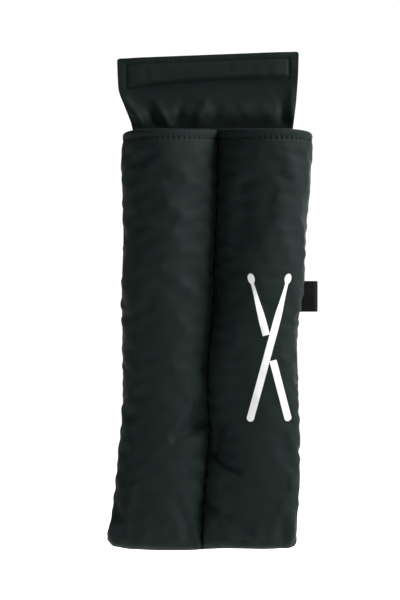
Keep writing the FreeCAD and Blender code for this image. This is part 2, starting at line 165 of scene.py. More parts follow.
def surface_coordinates(points: Array) -> Array:
    """Distances along a grid's rows and columns, which lay the weave straight on the cloth.

    Args:
        points: The cloth as a grid of points, rows first.

    Returns:
        Two distances for each point: across from the middle, and along from the first row.
    """
    across = np.linalg.norm(np.diff(points, axis=1), axis=2)
    along = np.linalg.norm(np.diff(points, axis=0), axis=2)
    across = np.concatenate([np.zeros((points.shape[0], 1)), np.cumsum(across, axis=1)], axis=1)
    across -= across[:, -1:] / 2.0
    along = np.concatenate([np.zeros((1, points.shape[1])), np.cumsum(along, axis=0)], axis=0)
    return np.stack([across, np.repeat(along.mean(axis=1, keepdims=True), points.shape[1], axis=1)], axis=2)


def build_mesh(name: str, points: Array, faces: Array, cloth: Optional[Array] = None) -> Object:
    """Makes a smooth-shaded mesh object.

    Args:
        name: The piece's name.
        points: Its points, one a row.
        faces: Its faces, one a row.
        cloth: Weave coordinates of each point, if it has any.

    Returns:
        The new object, linked to the scene.
    """
    mesh = bpy.data.meshes.new(name)
    mesh.from_pydata(points.reshape(-1, 3).tolist(), [], faces.tolist())
    if cloth is not None:
        layer = mesh.uv_layers.new(name="cloth")
        corner_points = np.zeros(len(mesh.loops), np.int32)
        mesh.loops.foreach_get("vertex_index", corner_points)
        layer.data.foreach_set("uv", cloth.reshape(-1, 2)[corner_points].astype(np.float32).ravel())
    mesh.polygons.foreach_set("use_smooth", [True] * len(mesh.polygons))
    mesh.update()
    piece = bpy.data.objects.new(name, mesh)
    bpy.context.scene.collection.objects.link(piece)
    return piece


def sheet_mesh(name: str, points: Array, flip: bool = False) -> Object:
    """One side of cloth from a grid of points, rows first.

    Args:
        name: The piece's name.
        points: The grid.
        flip: Turns its faces to look the other way.

    Returns:
        The new object.
    """
    faces = grid_faces(points.shape[0], points.shape[1])
    return build_mesh(name, points, faces[:, ::-1] if flip else faces, surface_coordinates(points))


def slab_mesh(name: str, outer: Array, inner: Array, flip: bool = False) -> Object:
    """A closed piece between two grids of one shape, joined round their edges.

    Args:
        name: The piece's name.
        outer: The grid that looks outwards.
        inner: The grid behind it.
        flip: Turns all faces the other way.

    Returns:
        The new object.
    """
    rows, columns = outer.shape[:2]
    count = rows * columns
    numbers = np.arange(count).reshape(rows, columns)
    rim = np.concatenate([numbers[0, :], numbers[1:, -1], numbers[-1, -2::-1], numbers[-2:0:-1, 0]])
    following = np.roll(rim, -1)
    edge = np.stack([following, rim, rim + count, following + count], axis=1)
    faces = np.concatenate([grid_faces(rows, columns), grid_faces(rows, columns, count)[:, ::-1], edge])
    points = np.concatenate([outer.reshape(-1, 3), inner.reshape(-1, 3)])
    cloth = np.concatenate([surface_coordinates(outer).reshape(-1, 2), surface_coordinates(inner).reshape(-1, 2)])
    return build_mesh(name, points, faces[:, ::-1] if flip else faces, cloth)


def resample(path: Array, pitch: float, margin: float) -> Array:
    """Places along a path.

    Args:
        path: Points, one a row.
        pitch: Distance between places.
        margin: Bare length left at each end.

    Returns:
        Positions as fractional indices into the path.
    """
    run = np.concatenate([[0.0], np.cumsum(np.linalg.norm(np.diff(path, axis=0), axis=1))])
    usable = run[-1] - 2.0 * margin
    count = max(2, int(usable / pitch) + 1)
    spots = run[-1] / 2.0 + (np.arange(count) - (count - 1) / 2.0) * (usable / (count - 1))
    return np.interp(spots, run, np.arange(len(path)))


@dataclass(frozen=True)
class StitchRow:
    """A row of lockstitches along a path on cloth."""
    path: Array
    normals: Array
    pitch: float = 3.3 * MM
    length: float = 2.5 * MM
    radius: float = 0.46 * MM
    lift: float = 0.0
    margin: float = 1.6 * MM

    def bars(self) -> tuple[Array, Array]:
        """The points and faces of every stitch, each a low bead with pinched ends.

        Returns:
            The points and the faces.
        """
        ring, turns = 7, 8
        share = np.linspace(-1.0, 1.0, ring)
        girth = np.sqrt(np.maximum(0.0, 1.0 - share ** 4)) * 0.92 + 0.08
        angle = np.arange(turns) * 2.0 * np.pi / turns
        bend = -0.9 * self.radius * share ** 2
        shape = np.zeros((ring, turns, 3))
        shape[..., 0] = (share * self.length / 2.0)[:, None]
        shape[..., 1] = np.outer(girth, np.cos(angle)) * self.radius
        shape[..., 2] = np.outer(girth, np.sin(angle)) * self.radius * 0.8 + bend[:, None]
        base = grid_faces(ring, turns + 1)
        wrapped = (base // (turns + 1)) * turns + (base % (turns + 1)) % turns
        places = resample(self.path, self.pitch, self.margin)
        numbers = np.arange(len(self.path))
        points, faces = [], []
        for spot in places:
            middle = np.array([np.interp(spot, numbers, self.path[:, axis]) for axis in range(3)])
            up = np.array([np.interp(spot, numbers, self.normals[:, axis]) for axis in range(3)])
            up /= np.linalg.norm(up)
            before, after = max(spot - 0.5, 0.0), min(spot + 0.5, len(self.path) - 1.0)
            along = np.array([
                np.interp(after, numbers, self.path[:, axis]) - np.interp(before, numbers, self.path[:, axis])
                for axis in range(3)
            ])
            along -= up * along.dot(up)
            along /= np.linalg.norm(along)
            basis = np.stack([along, np.cross(up, along), up])
            faces.append(wrapped + len(points) * ring * turns)
            points.append(shape.reshape(-1, 3) @ basis + middle + up * self.lift)
        return np.concatenate(points), np.concatenate(faces)


def stitched_rows(name: str, rows: Sequence[StitchRow]) -> Object:
    """One object that holds the stitches of several rows.

    Args:
        name: The piece's name.
        rows: The rows of stitches.

    Returns:
        The new object.
    """
    points, faces, count = [], [], 0
    for row in rows:
        some_points, some_faces = row.bars()
        faces.append(some_faces + count)
        points.append(some_points)
        count += len(some_points)
    return build_mesh(name, np.concatenate(points), np.concatenate(faces))


# ---- Finishes -----------------------------------------------------------------------------------------

class NodeBench:
    """Lays out a material's nodes."""

    def __init__(self, name: str) -> None:
        """Starts a material with an output and a main shader.

        Args:
            name: The material's name.
        """
        self.material = bpy.data.materials.new(name)
        self.material.use_nodes = True
        self.tree = self.material.node_tree
        self.tree.nodes.clear()
        self.shader = self.add("ShaderNodeBsdfPrincipled")
        output = self.add("ShaderNodeOutputMaterial")
        self.link(self.shader.outputs["BSDF"], output.inputs["Surface"])

    def add(self, kind: str, **sockets: object) -> bpy.types.Node:
        """Adds a node and sets its input sockets by name.

        Args:
            kind: The node's type.
            **sockets: Values by socket name, with _ for each space.

        Returns:
            The node.
        """
        node = self.tree.nodes.new(kind)
        for socket, value in sockets.items():
            node.inputs[socket.replace("_", " ")].default_value = value
        return node

    def link(self, start: Socket, end: Socket) -> None:
        """Joins two sockets."""
        self.tree.links.new(start, end)

    def maths(self, operation: str, first: Union[float, Socket], second: Union[float, Socket] = 0.0) -> Socket:
        """A sum of one or two numbers or sockets.

        Args:
            operation: What to do with them.
            first: The first number or socket.
            second: The second one, which some operations leave out.

        Returns:
            The socket with the result.
        """
        node = self.tree.nodes.new("ShaderNodeMath")
        node.operation = operation
        for index, value in enumerate((first, second)):
            if isinstance(value, Socket):
                self.link(value, node.inputs[index])
            else:
                node.inputs[index].default_value = value
        return node.outputs[0]

    def cloth_axes(self) -> tuple[Socket, Socket]:
        """Distances across and along the cloth, in metres.

        Returns:
            The socket across and the socket along.
        """
        coordinates = self.add("ShaderNodeUVMap")
        coordinates.uv_map = "cloth"
        split = self.add("ShaderNodeSeparateXYZ")
        self.link(coordinates.outputs["UV"], split.inputs[0])
        return split.outputs[0], split.outputs[1]

    def noise(self, size: float, detail: float = 2.0, stretch: Sequence[float] = (1, 1, 1)) -> Socket:
        """Uneven values in space, with features of about one size.

        Args:
            size: Distance between features.
            detail: How many finer layers are added.
            stretch: Scale along each axis.

        Returns:
            The socket with the values.
        """
        place = self.add("ShaderNodeTexCoord")
        mapping = self.add("ShaderNodeMapping")
        mapping.inputs["Scale"].default_value = stretch
        self.link(place.outputs["Object"], mapping.inputs["Vector"])
        texture = self.add("ShaderNodeTexNoise", Scale=1.0 / size, Detail=detail)
        self.link(mapping.outputs[0], texture.inputs["Vector"])
        return texture.outputs["Fac"]

    def ramp(self, factor: Socket, low: float, high: float) -> Socket:
        """Stretches a value so that low becomes 0 and high becomes 1.

        Args:
            factor: The value.
            low: Becomes 0.
            high: Becomes 1.

        Returns:
            The socket with the stretched value.
        """
        node = self.add("ShaderNodeMapRange")
        node.inputs["From Min"].default_value = low
        node.inputs["From Max"].default_value = high
        self.link(factor, node.inputs["Value"])
        return node.outputs[0]

    def blend_colours(self, factor: Socket, first: Sequence[float], second: Sequence[float]) -> Socket:
        """Mixes two colours by a factor.

        Args:
            factor: 0 for the first colour, 1 for the second.
            first: Red, green and blue.
            second: Red, green and blue.

        Returns:
            The socket with the mix.
        """
        node = self.tree.nodes.new("ShaderNodeMix")
        node.data_type = "RGBA"
        colours = [socket for socket in node.inputs if socket.type == "RGBA"]
        colours[0].default_value = (*first, 1.0)
        colours[1].default_value = (*second, 1.0)
        self.link(factor, node.inputs["Factor"])
        return next(socket for socket in node.outputs if socket.type == "RGBA")

    def bump(self, height: Socket, distance: float, strength: float,
             below: Optional[Socket] = None) -> Socket:
        """Roughens the surface by a height.

        Args:
            height: The height, about 0 to 1.
            distance: The depth of a height of 1.
            strength: The share of the effect.
            below: A coarser bump that this one lies on.

        Returns:
            The bumped normal.
        """
        node = self.add("ShaderNodeBump", Distance=distance, Strength=strength)
        self.link(height, node.inputs["Height"])
        if below is not None:
            self.link(below, node.inputs["Normal"])
        return node.outputs[0]


def tinted(colour: Sequence[float], share: float) -> tuple[float, float, float]:
    """A colour made lighter or darker by a share of itself."""
    return tuple(min(1.0, value * share) for value in colour)


@dataclass(frozen=True)
class WovenCloth:
    """Plain-woven cloth: threads over and under, slubs, soft creasing and a faint sheen."""
    name: str
    colour: tuple[float, float, float]
    pitch: float = 0.9 * MM
    weave_depth: float = 0.10 * MM
    roughness: float = 0.74
    sheen: float = 0.02
    gloss: float = 0.14
    crinkle: float = 0.50 * MM
    crinkle_size: float = 9.0 * MM

    def material(self) -> Material:
        """Lays out the cloth's nodes.

        Returns:
            The material.
        """
        bench = NodeBench(self.name)
        across, along = bench.cloth_axes()
        rate = TURN / (2.0 * self.pitch)
        over = bench.maths("SINE", bench.maths("MULTIPLY", across, rate))
        under = bench.maths("SINE", bench.maths("MULTIPLY", along, rate))
        weave = bench.maths("MULTIPLY", over, under)
        slub = bench.noise(1.6 * MM, 1.0, (1.0, 1.0, 0.25))
        height = bench.maths("ADD", bench.maths("MULTIPLY", weave, 0.5), slub)
        creases = bench.bump(bench.noise(self.crinkle_size, 3.0), self.crinkle, 0.55)
        bench.link(bench.bump(height, self.weave_depth, 0.6, creases), bench.shader.inputs["Normal"])
        cloudy = bench.ramp(bench.noise(38.0 * MM, 3.0), 0.3, 0.7)
        # Lighter on convex crests, folds and rims by pointiness: partly wear, partly a painted highlight on the
        # fold crests.
        edges = bench.add("ShaderNodeNewGeometry").outputs["Pointiness"]
        wear_and_crest_highlight = bench.ramp(edges, 0.50, 0.62)
        tone = bench.maths("ADD", bench.maths("MULTIPLY", cloudy, 0.45), bench.maths("MULTIPLY", wear_and_crest_highlight, 0.5))
        tone = bench.maths("ADD", tone, bench.maths("MULTIPLY", weave, 0.12))
        colour = bench.blend_colours(tone, tinted(self.colour, 0.86), tinted(self.colour, 1.22))
        bench.link(colour, bench.shader.inputs["Base Color"])
        rough = bench.maths("ADD", bench.maths("MULTIPLY", slub, 0.12), self.roughness - 0.06)
        bench.link(rough, bench.shader.inputs["Roughness"])
        bench.shader.inputs["Specular IOR Level"].default_value = self.gloss
        bench.shader.inputs["Sheen Weight"].default_value = self.sheen
        bench.shader.inputs["Sheen Roughness"].default_value = 0.45
        return bench.material


@dataclass(frozen=True)
class NappedTape:
    """Hook or loop tape: a bed of tiny hooks or a felted nap."""
    name: str
    colour: tuple[float, float, float]
    tuft: float
    sheen: float

    def material(self) -> Material:
        """Lays out the tape's nodes.

        Returns:
            The material.
        """
        bench = NodeBench(self.name)
        tufts = bench.add("ShaderNodeTexVoronoi", Scale=1.0 / self.tuft)
        place = bench.add("ShaderNodeTexCoord")
        bench.link(place.outputs["Object"], tufts.inputs["Vector"])
        fuzz = bench.noise(self.tuft * 0.6, 3.0)
        height = bench.maths("SUBTRACT", fuzz, tufts.outputs["Distance"])
        bench.link(bench.bump(height, self.tuft * 0.5, 0.8), bench.shader.inputs["Normal"])
        colour = bench.blend_colours(bench.ramp(fuzz, 0.3, 0.7), tinted(self.colour, 0.6),
                                     tinted(self.colour, 1.7))
        bench.link(colour, bench.shader.inputs["Base Color"])
        bench.link(bench.ramp(fuzz, -1.6, 1.0), bench.shader.inputs["Roughness"])
        bench.shader.inputs["Specular IOR Level"].default_value = 0.25
        bench.shader.inputs["Sheen Weight"].default_value = self.sheen
        bench.shader.inputs["Sheen Roughness"].default_value = 0.5
        return bench.material


@dataclass(frozen=True)
class RibbedWebbing:
    """Narrow nylon webbing with a chevron of fine ribs."""
    name: str
    colour: tuple[float, float, float]
    rib: float = 1.5 * MM

    def material(self) -> Material:
        """Lays out the webbing's nodes.

        Returns:
            The material.
        """
        bench = NodeBench(self.name)
        across, along = bench.cloth_axes()
        rate = TURN / self.rib
        chevron = bench.maths("ADD", along, bench.maths("MULTIPLY", bench.maths("ABSOLUTE", across), 0.7))
        ribs = bench.maths("SINE", bench.maths("MULTIPLY", chevron, rate))
        yarns = bench.maths("SINE", bench.maths("MULTIPLY", across, rate * 1.6))
        height = bench.maths("ADD", bench.maths("MULTIPLY", ribs, 0.6), bench.maths("MULTIPLY", yarns, 0.4))
        bench.link(bench.bump(height, 0.18 * MM, 0.7), bench.shader.inputs["Normal"])
        cloudy = bench.ramp(bench.noise(6.0 * MM, 3.0), 0.3, 0.7)
        colour = bench.blend_colours(cloudy, tinted(self.colour, 0.8), tinted(self.colour, 1.3))
        bench.link(colour, bench.shader.inputs["Base Color"])
        bench.link(bench.ramp(cloudy, -3.0, 3.0), bench.shader.inputs["Roughness"])
        bench.shader.inputs["Specular IOR Level"].default_value = 0.10
        bench.shader.inputs["Sheen Weight"].default_value = 0.01
        return bench.material


@dataclass(frozen=True)
class TwistedThread:
    """Sewing thread with a fine twist."""
    name: str
    colour: tuple[float, float, float]

    def material(self) -> Material:
        """Lays out the thread's nodes.

        Returns:
            The material.
        """
        bench = NodeBench(self.name)
        twist = bench.noise(0.5 * MM, 1.0)
        bench.link(bench.bump(twist, 0.08 * MM, 0.6), bench.shader.inputs["Normal"])
        colour = bench.blend_colours(bench.ramp(twist, 0.35, 0.65), tinted(self.colour, 0.7),
                                     tinted(self.colour, 1.4))
        bench.link(colour, bench.shader.inputs["Base Color"])
        bench.link(bench.ramp(twist, -2.0, 1.0), bench.shader.inputs["Roughness"])
        bench.shader.inputs["Specular IOR Level"].default_value = 0.15
        return bench.material


@dataclass(frozen=True)
class CellFoam:
    """Open-cell foam padding."""
    name: str
    colour: tuple[float, float, float]

    def material(self) -> Material:
        """Lays out the foam's nodes.

        Returns:
            The material.
        """
        bench = NodeBench(self.name)
        cells = bench.noise(1.1 * MM, 4.0)
        bench.link(bench.bump(cells, 0.4 * MM, 0.8), bench.shader.inputs["Normal"])
        colour = bench.blend_colours(bench.ramp(cells, 0.35, 0.6), tinted(self.colour, 0.6),
                                     tinted(self.colour, 1.2))
        bench.link(colour, bench.shader.inputs["Base Color"])
        bench.link(bench.ramp(cells, -2.0, 0.8), bench.shader.inputs["Roughness"])
        return bench.material


@dataclass(frozen=True)
class ScreenInk:
    """Matt white ink that lets a little of the weave through."""
    name: str
    colour: tuple[float, float, float]

    def material(self) -> Material:
        """Lays out the ink's nodes.

        Returns:
            The material.
        """
        bench = NodeBench(self.name)
        grain = bench.noise(0.9 * MM, 3.0)
        bench.link(bench.bump(grain, 0.10 * MM, 0.5), bench.shader.inputs["Normal"])
        thin = bench.ramp(grain, 0.18, 0.42)
        colour = bench.blend_colours(thin, tinted(self.colour, 0.72), self.colour)
        bench.link(colour, bench.shader.inputs["Base Color"])
        bench.link(bench.ramp(grain, -1.4, 1.2), bench.shader.inputs["Roughness"])
        bench.shader.inputs["Specular IOR Level"].default_value = 0.3
        return bench.material


@dataclass(frozen=True)
class PaleFloor:
    """A plain pale floor that glows by itself, weakest under the bag and more with distance, out into a white
    sweep.
    """
    name: str = "pale_floor"
    colour: tuple[float, float, float] = (0.86, 0.86, 0.86)
    near: float = 0.5
    far: float = 1.7

    def material(self) -> Material:
        """Lays out the floor's nodes.

        Returns:
            The material.
        """
        bench = NodeBench(self.name)
        bench.shader.inputs["Base Color"].default_value = (*self.colour, 1.0)
        bench.shader.inputs["Roughness"].default_value = 0.9
        bench.shader.inputs["Specular IOR Level"].default_value = 0.1
        # Painted glow: the floor emits light, least straight under the bag and fully beyond far, so the distant
        # floor reads as a white sweep.
        bench.shader.inputs["Emission Color"].default_value = (1.0, 1.0, 1.0, 1.0)
        place = bench.add("ShaderNodeTexCoord")
        away = bench.tree.nodes.new("ShaderNodeVectorMath")
        away.operation = "LENGTH"
        bench.link(place.outputs["Object"], away.inputs[0])
        sweep = bench.ramp(away.outputs["Value"], self.near, self.far)
        bench.link(bench.maths("ADD", bench.maths("MULTIPLY", sweep, 0.75), 0.25),
                   bench.shader.inputs["Emission Strength"])
        return bench.material


GREEN_BLACK = (0.0046, 0.0106, 0.0094)


@dataclass
class Wardrobe:
    """Every finish of the bag, made once."""
    shell: Material = field(init=False)
    lining: Material = field(init=False)
    foam: Material = field(init=False)
    webbing: Material = field(init=False)
    hooks: Material = field(init=False)
    loops: Material = field(init=False)
    thread: Material = field(init=False)
    ink: Material = field(init=False)

    def __post_init__(self) -> None:
        """Makes the materials."""
        self.shell = WovenCloth("shell_nylon", GREEN_BLACK).material()
        self.lining = WovenCloth("lining_tricot", (0.012, 0.014, 0.014), pitch=0.6 * MM, roughness=0.7,
                                 sheen=0.05, gloss=0.2).material()
        self.foam = CellFoam("padding_foam", (0.05, 0.052, 0.054)).material()
        self.webbing = RibbedWebbing("strap_webbing", (0.0022, 0.0026, 0.0025)).material()
        self.hooks = NappedTape("hook_tape", (0.006, 0.006, 0.006), 0.9 * MM, 0.05).material()
        self.loops = NappedTape("loop_tape", (0.010, 0.010, 0.010), 1.6 * MM, 0.35).material()
        self.thread = TwistedThread("black_thread", (0.0020, 0.0030, 0.0028)).material()
        self.ink = ScreenInk("white_ink", (0.74, 0.75, 0.73)).material()


def dress(piece: Object, material: Material, slot: str, nodes: Iterable[str],
          body: Optional[str] = None) -> Object:
    """Gives a piece its finish, hides the nodes that it stands for, attaches it to the body that it rides on and
    logs its slot.

    Args:
        piece: The finished mesh.
        material: Its material.
        slot: The record's slot for that finish.
        nodes: The frame's nodes that it replaces.
        body: The body that it rides on, or None, which leaves it unattached.

    Returns:
        The same piece.
    """
    piece.data.materials.append(material)
    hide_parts(*nodes)
    if body is not None:
        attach(piece, body)
    LOG.info("%s: %d faces, %s", piece.name, len(piece.data.polygons), slot)
    return piece


# ---- The bag's outline --------------------------------------------------------------------------------

@dataclass(frozen=True)
class Fold:
    """A crease in padded cloth between two points given as (share round the tube, drop below the mouth)."""
    start: tuple[float, float]
    end: tuple[float, float]
    deep: float
    wide: float
    fading: float = 0.60
    lip: float = 1.3

    def depth(self, around: Array, drop: Array, girth: float) -> Array:
        """How far the fold lifts each point: a groove with a raised lip on both sides.

        Args:
            around: Each point's share round the tube.
            drop: Its drop below the mouth.
            girth: The cloth's length round the tube.

        Returns:
            Heights along the surface's normal.
        """
        share, offset = beside_line(around * girth, drop, (self.start[0] * girth, self.start[1]),
                                    (self.end[0] * girth, self.end[1]))
        away = np.linalg.norm(offset, axis=-1) / self.wide
        taper = 1.0 - self.fading * share
        return -self.deep * taper * (1.0 - self.lip * away ** 2) * np.exp(-away ** 2)


@dataclass(frozen=True)
class Hollow:
    """A wedge-shaped dent in padded cloth, from its apex to its mouth beside the seam between the tubes."""
    apex: tuple[float, float]
    mouth: tuple[float, float]
    deep: float
    above: float
    below: float
    apex_wide: float = 4.0 * MM
    apex_share: float = 0.55
    mouth_gain: float = 0.45
    turn_over: float = 5.0 * MM

    def depth(self, around: Array, drop: Array, girth: float) -> Array:
        """How far the hollow lifts each point, which is nothing or less.

        Args:
            around: Each point's share round the tube.
            drop: Its drop below the mouth.
            girth: The cloth's length round the tube.

        Returns:
            Heights along the surface's normal.
        """
        inside, offset = beside_line(around * girth, drop, (self.apex[0] * girth, self.apex[1]),
                                     (self.mouth[0] * girth, self.mouth[1]))
        away = np.linalg.norm(offset, axis=-1)
        upward = smooth_step(offset[..., 1], self.turn_over, -self.turn_over)
        reach = self.below + (self.above - self.below) * upward
        wide = self.apex_wide + (reach - self.apex_wide) * inside
        return -self.deep * (self.apex_share + self.mouth_gain * inside) * np.exp(-(away / wide) ** 2)


Crease = Union[Fold, Hollow]


def eased(stations: Stations, place: Array) -> Array:
    """Reads a smooth line through a few stations.

    Args:
        stations: Pairs of a place and the line's value there, in rising order.
        place: Where to read the line.

    Returns:
        The line's values.
    """
    spots, values = (np.array(column, float) for column in zip(*stations))
    slopes = np.gradient(values, spots)
    place = np.clip(place, spots[0], spots[-1])
    index = np.clip(np.searchsorted(spots, place, side="right") - 1, 0, len(spots) - 2)
    gap = spots[index + 1] - spots[index]
    share = (place - spots[index]) / gap
    rest = 1.0 - share
    return (values[index] * rest ** 2 * (1.0 + 2.0 * share)
            + values[index + 1] * share ** 2 * (1.0 + 2.0 * rest)
            + slopes[index] * gap * share * rest ** 2 - slopes[index + 1] * gap * share ** 2 * rest)


# Each edge and seam is given by pairs of a share of the bag's length below the mouths and a place across, in
# halves of the width at the mouths. The foot's sag is given by pairs of a share across and millimetres.
LEFT_EDGE: Stations = (
    (0.00, -1.010), (0.13, -1.018), (0.25, -1.008), (0.36, -1.024), (0.55, -1.014), (0.69, -1.020),
    (0.78, -1.058), (0.84, -1.086), (0.90, -1.112), (0.955, -1.156), (1.00, -1.180),
)
SEAM_BETWEEN: Stations = (
    (0.00, 0.000), (0.15, -0.002), (0.25, -0.022), (0.32, -0.042), (0.41, -0.050), (0.47, -0.068),
    (0.53, -0.095), (0.74, -0.100), (0.81, -0.120), (0.90, -0.150), (1.00, -0.163),
)
RIGHT_EDGE: Stations = (
    (0.00, 1.012), (0.08, 1.000), (0.14, 0.990), (0.19, 0.964), (0.25, 0.942), (0.34, 0.918), (0.40, 0.900),
    (0.455, 0.862), (0.60, 0.862), (0.67, 0.864), (0.85, 0.856), (0.92, 0.856), (1.00, 0.846),
)
FOOT_SAG: Stations = (
    (-1.00, -6.4), (-0.95, -2.2), (-0.86, -0.4), (-0.60, 1.2), (-0.25, 1.8), (0.00, 1.7), (0.12, 0.8),
    (0.80, 0.4), (0.94, -0.2), (0.98, -1.8), (1.00, -4.6),
)


@dataclass(frozen=True)
class BagOutline:
    """The shape shared by the tubes and the back panel, which hangs and sags a little below the frame."""
    length: float
    mouth_half: float
    tube_depth: float
    panel_depth: float
    foot_reach: float = 32.0 * MM
    seam_depth: float = 2.0 * MM
    sag_reach: float = 45.0 * MM
    shoulder: float = 1.12
    fullest_bow: float = 0.80
    flatter_bow: float = 0.24
    side_step: float = 2.0 * MM
    thinnest: float = 0.5 * MM

    @property
    def foot_drop(self) -> float:
        """The drop at which the tubes start to close."""
        return self.length - self.foot_reach

    def seam_x(self, drop: Array) -> Array:
        """X of the seam between the tubes at a drop below the mouth."""
        return self.mouth_half * eased(SEAM_BETWEEN, drop / self.length)

    def edge_x(self, side: Side, drop: Array) -> Array:
        """X of the bag's edge on one side at a drop below the mouth."""
        return self.mouth_half * eased(LEFT_EDGE if side is Side.LEFT else RIGHT_EDGE, drop / self.length)

    def sag(self, x: Array, drop: Array) -> Array:
        """How far the bag's foot hangs below its drop, by place across the bag.

        Args:
            x: Places across the bag.
            drop: Their drops below the mouths.

        Returns:
            Lengths, positive downwards.
        """
        seam = self.seam_x(drop)
        left, right = self.edge_x(Side.LEFT, drop), self.edge_x(Side.RIGHT, drop)
        share = np.where(x < seam, (x - seam) / (seam - left), (x - seam) / (right - seam))
        near_foot = smooth_step(drop, self.length - self.sag_reach, self.length)
        return MM * eased(FOOT_SAG, share) * near_foot ** 2

    def tube_point(self, side: Side, around: Array, drop: Array, depth: Array, inset: Array) -> Array:
        """A point of a tube.

        Args:
            side: Which tube.
            around: 0 at the seam between the tubes, 1 at the bag's side.
            drop: The point's drop below the mouth.
            depth: How far the tube stands in front of the panel at that drop.
            inset: How far the layer lies inside the cover.

        Returns:
            Points in the frame.
        """
        around, drop, depth, inset = np.broadcast_arrays(around, drop, depth, inset)
        half = np.abs(self.edge_x(side, drop) - self.seam_x(drop)) / 2.0
        angle = np.pi * around
        shoulder = np.pi * around ** self.shoulder
        x = self.seam_x(drop) + side.value * (half - (half - inset) * np.cos(angle))
        flat = smooth_step(drop, 0.35 * self.length, 0.85 * self.length)
        swell = np.maximum(np.sin(shoulder), 0.0) ** (self.fullest_bow - self.flatter_bow * flat)
        y = -self.panel_depth + self.side_step * around ** 2 - np.maximum(depth - inset, self.thinnest) * swell
        return np.stack([x, y, -drop], axis=-1)


def measured_outline() -> BagOutline:
    """The outline, with its sizes taken from the frame.

    Returns:
        The outline of this frame's bag.
    """
    back_low, back_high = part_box("back_shell")
    tube_low, tube_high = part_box("right_front_shell")
    stretch = 5.0 * MM  # the padded cloth hangs this much below the frame's foot
    return BagOutline(length=stretch - back_low.z, mouth_half=back_high.x,
                      tube_depth=tube_high.y - tube_low.y, panel_depth=-tube_high.y)


@dataclass(frozen=True)
class Swelling:
    """How far a simulated cover moved along its normals, on a coarse grid that smoother grids read."""
    moved: Array
    drops: Array

    def read(self, around: Array, drop: Array) -> Array:
        """The movement at any place on the cover, smoothly between the grid's points.

        Args:
            around: Each place's share round the tube.
            drop: Its drop below the mouth.

        Returns:
            The movement along the normal.
        """
        around, drop = np.broadcast_arrays(around, drop)
        rows = np.interp(drop, self.drops, np.arange(len(self.drops), dtype=float))
        columns = around * (self.moved.shape[1] - 1.0)
        total = np.zeros(around.shape)
        for row_step, row_share in self.shares(rows):
            row = np.clip(np.floor(rows).astype(int) + row_step, 0, self.moved.shape[0] - 1)
            for column_step, column_share in self.shares(columns):
                column = np.clip(np.floor(columns).astype(int) + column_step, 0, self.moved.shape[1] - 1)
                total += row_share * column_share * self.moved[row, column]
        return total

    @staticmethod
    def shares(place: Array) -> list[tuple[int, Array]]:
        """The shares of the four neighbours of each place, which make a smooth curve through them.

        Args:
            place: Places as fractional indices.

        Returns:
            Four pairs of a step from the place's own index and the share of that neighbour.
        """
        share = place - np.floor(place)
        rest = 1.0 - share
        return [(-1, rest ** 3 / 6.0), (0, (3.0 * share ** 3 - 6.0 * share ** 2 + 4.0) / 6.0),
                (1, (3.0 * rest ** 3 - 6.0 * rest ** 2 + 4.0) / 6.0), (2, share ** 3 / 6.0)]


@dataclass
class ClothSettling:
    """A short cloth simulation in which a cover with a little spare cloth swells between its seams."""
    pressure: float = 4.0
    spare: float = 0.016
    steps: int = 20
    limit: float = 1.3 * MM
    stretch_stiffness: float = 18.0
    shear_stiffness: float = 6.0
    bend_stiffness: float = 0.4
    quality: int = 6

    def run(self, points: Array, held: Array, outward: Array, flip: bool) -> Array:
        """Swells the cover.

        Args:
            points: The cover as a grid of points, rows first.
            held: True for the points that seams hold.
            outward: The cover's normals.
            flip: Turns the grid's faces so that they look outwards.

        Returns:
            How far each point moved along its normal.
        """
        sheet = sheet_mesh("cover_at_rest", points, flip)
        group = sheet.vertex_groups.new(name="seams")
        group.add(np.flatnonzero(held.ravel()).tolist(), 1.0, "REPLACE")
        cloth = sheet.modifiers.new("swell", "CLOTH")
        cloth.settings.quality = self.quality
        cloth.settings.tension_stiffness = self.stretch_stiffness
        cloth.settings.compression_stiffness = self.stretch_stiffness
        cloth.settings.shear_stiffness = self.shear_stiffness
        cloth.settings.bending_stiffness = self.bend_stiffness
        cloth.settings.use_pressure = True
        cloth.settings.uniform_pressure_force = self.pressure
        cloth.settings.shrink_min = -self.spare
        cloth.settings.shrink_max = -self.spare
        cloth.settings.vertex_group_mass = group.name
        cloth.settings.effector_weights.gravity = 0.0
        cloth.collision_settings.use_collision = False
        cloth.point_cache.frame_start = 1
        cloth.point_cache.frame_end = self.steps
        for step in range(1, self.steps + 1):
            bpy.context.scene.frame_set(step)
        settled = sheet.evaluated_get(bpy.context.evaluated_depsgraph_get()).data
        after = np.zeros(len(settled.vertices) * 3)
        settled.vertices.foreach_get("co", after)
        bpy.context.scene.frame_set(1)
        mesh = sheet.data
        bpy.data.objects.remove(sheet)
        bpy.data.meshes.remove(mesh)
        moved = ((after.reshape(points.shape) - points) * outward).sum(axis=2)
        LOG.info("cover settled: %.1f to %.1f mm", moved.min() / MM, moved.max() / MM)
        return self.limit * np.tanh(moved / self.limit)


# ---- Tubes --------------------------------------------------------------------------------------------

LEFT_CREASES: tuple[Crease, ...] = (
    Hollow((0.41, 0.2460), (0.22, 0.2390), 8.5 * MM, 17.0 * MM, 6.0 * MM),
    Hollow((0.30, 0.2700), (0.12, 0.2600), 3.0 * MM, 5.0 * MM, 7.0 * MM),
    Fold((0.16, 0.2800), (0.62, 0.2880), 2.0 * MM, 8.0 * MM),
    Fold((1.00, 0.0860), (0.90, 0.0920), 1.0 * MM, 4.0 * MM),
    Fold((1.00, 0.1460), (0.80, 0.1500), 1.4 * MM, 5.0 * MM),
    Fold((1.00, 0.1830), (0.86, 0.1900), 1.2 * MM, 4.0 * MM),
    Fold((1.00, 0.2200), (0.84, 0.2140), 1.4 * MM, 5.0 * MM),
    Fold((0.62, 0.1400), (0.90, 0.1600), 0.5 * MM, 6.0 * MM),
    Fold((0.18, 0.3360), (0.36, 0.3000), 2.0 * MM, 7.0 * MM),
)
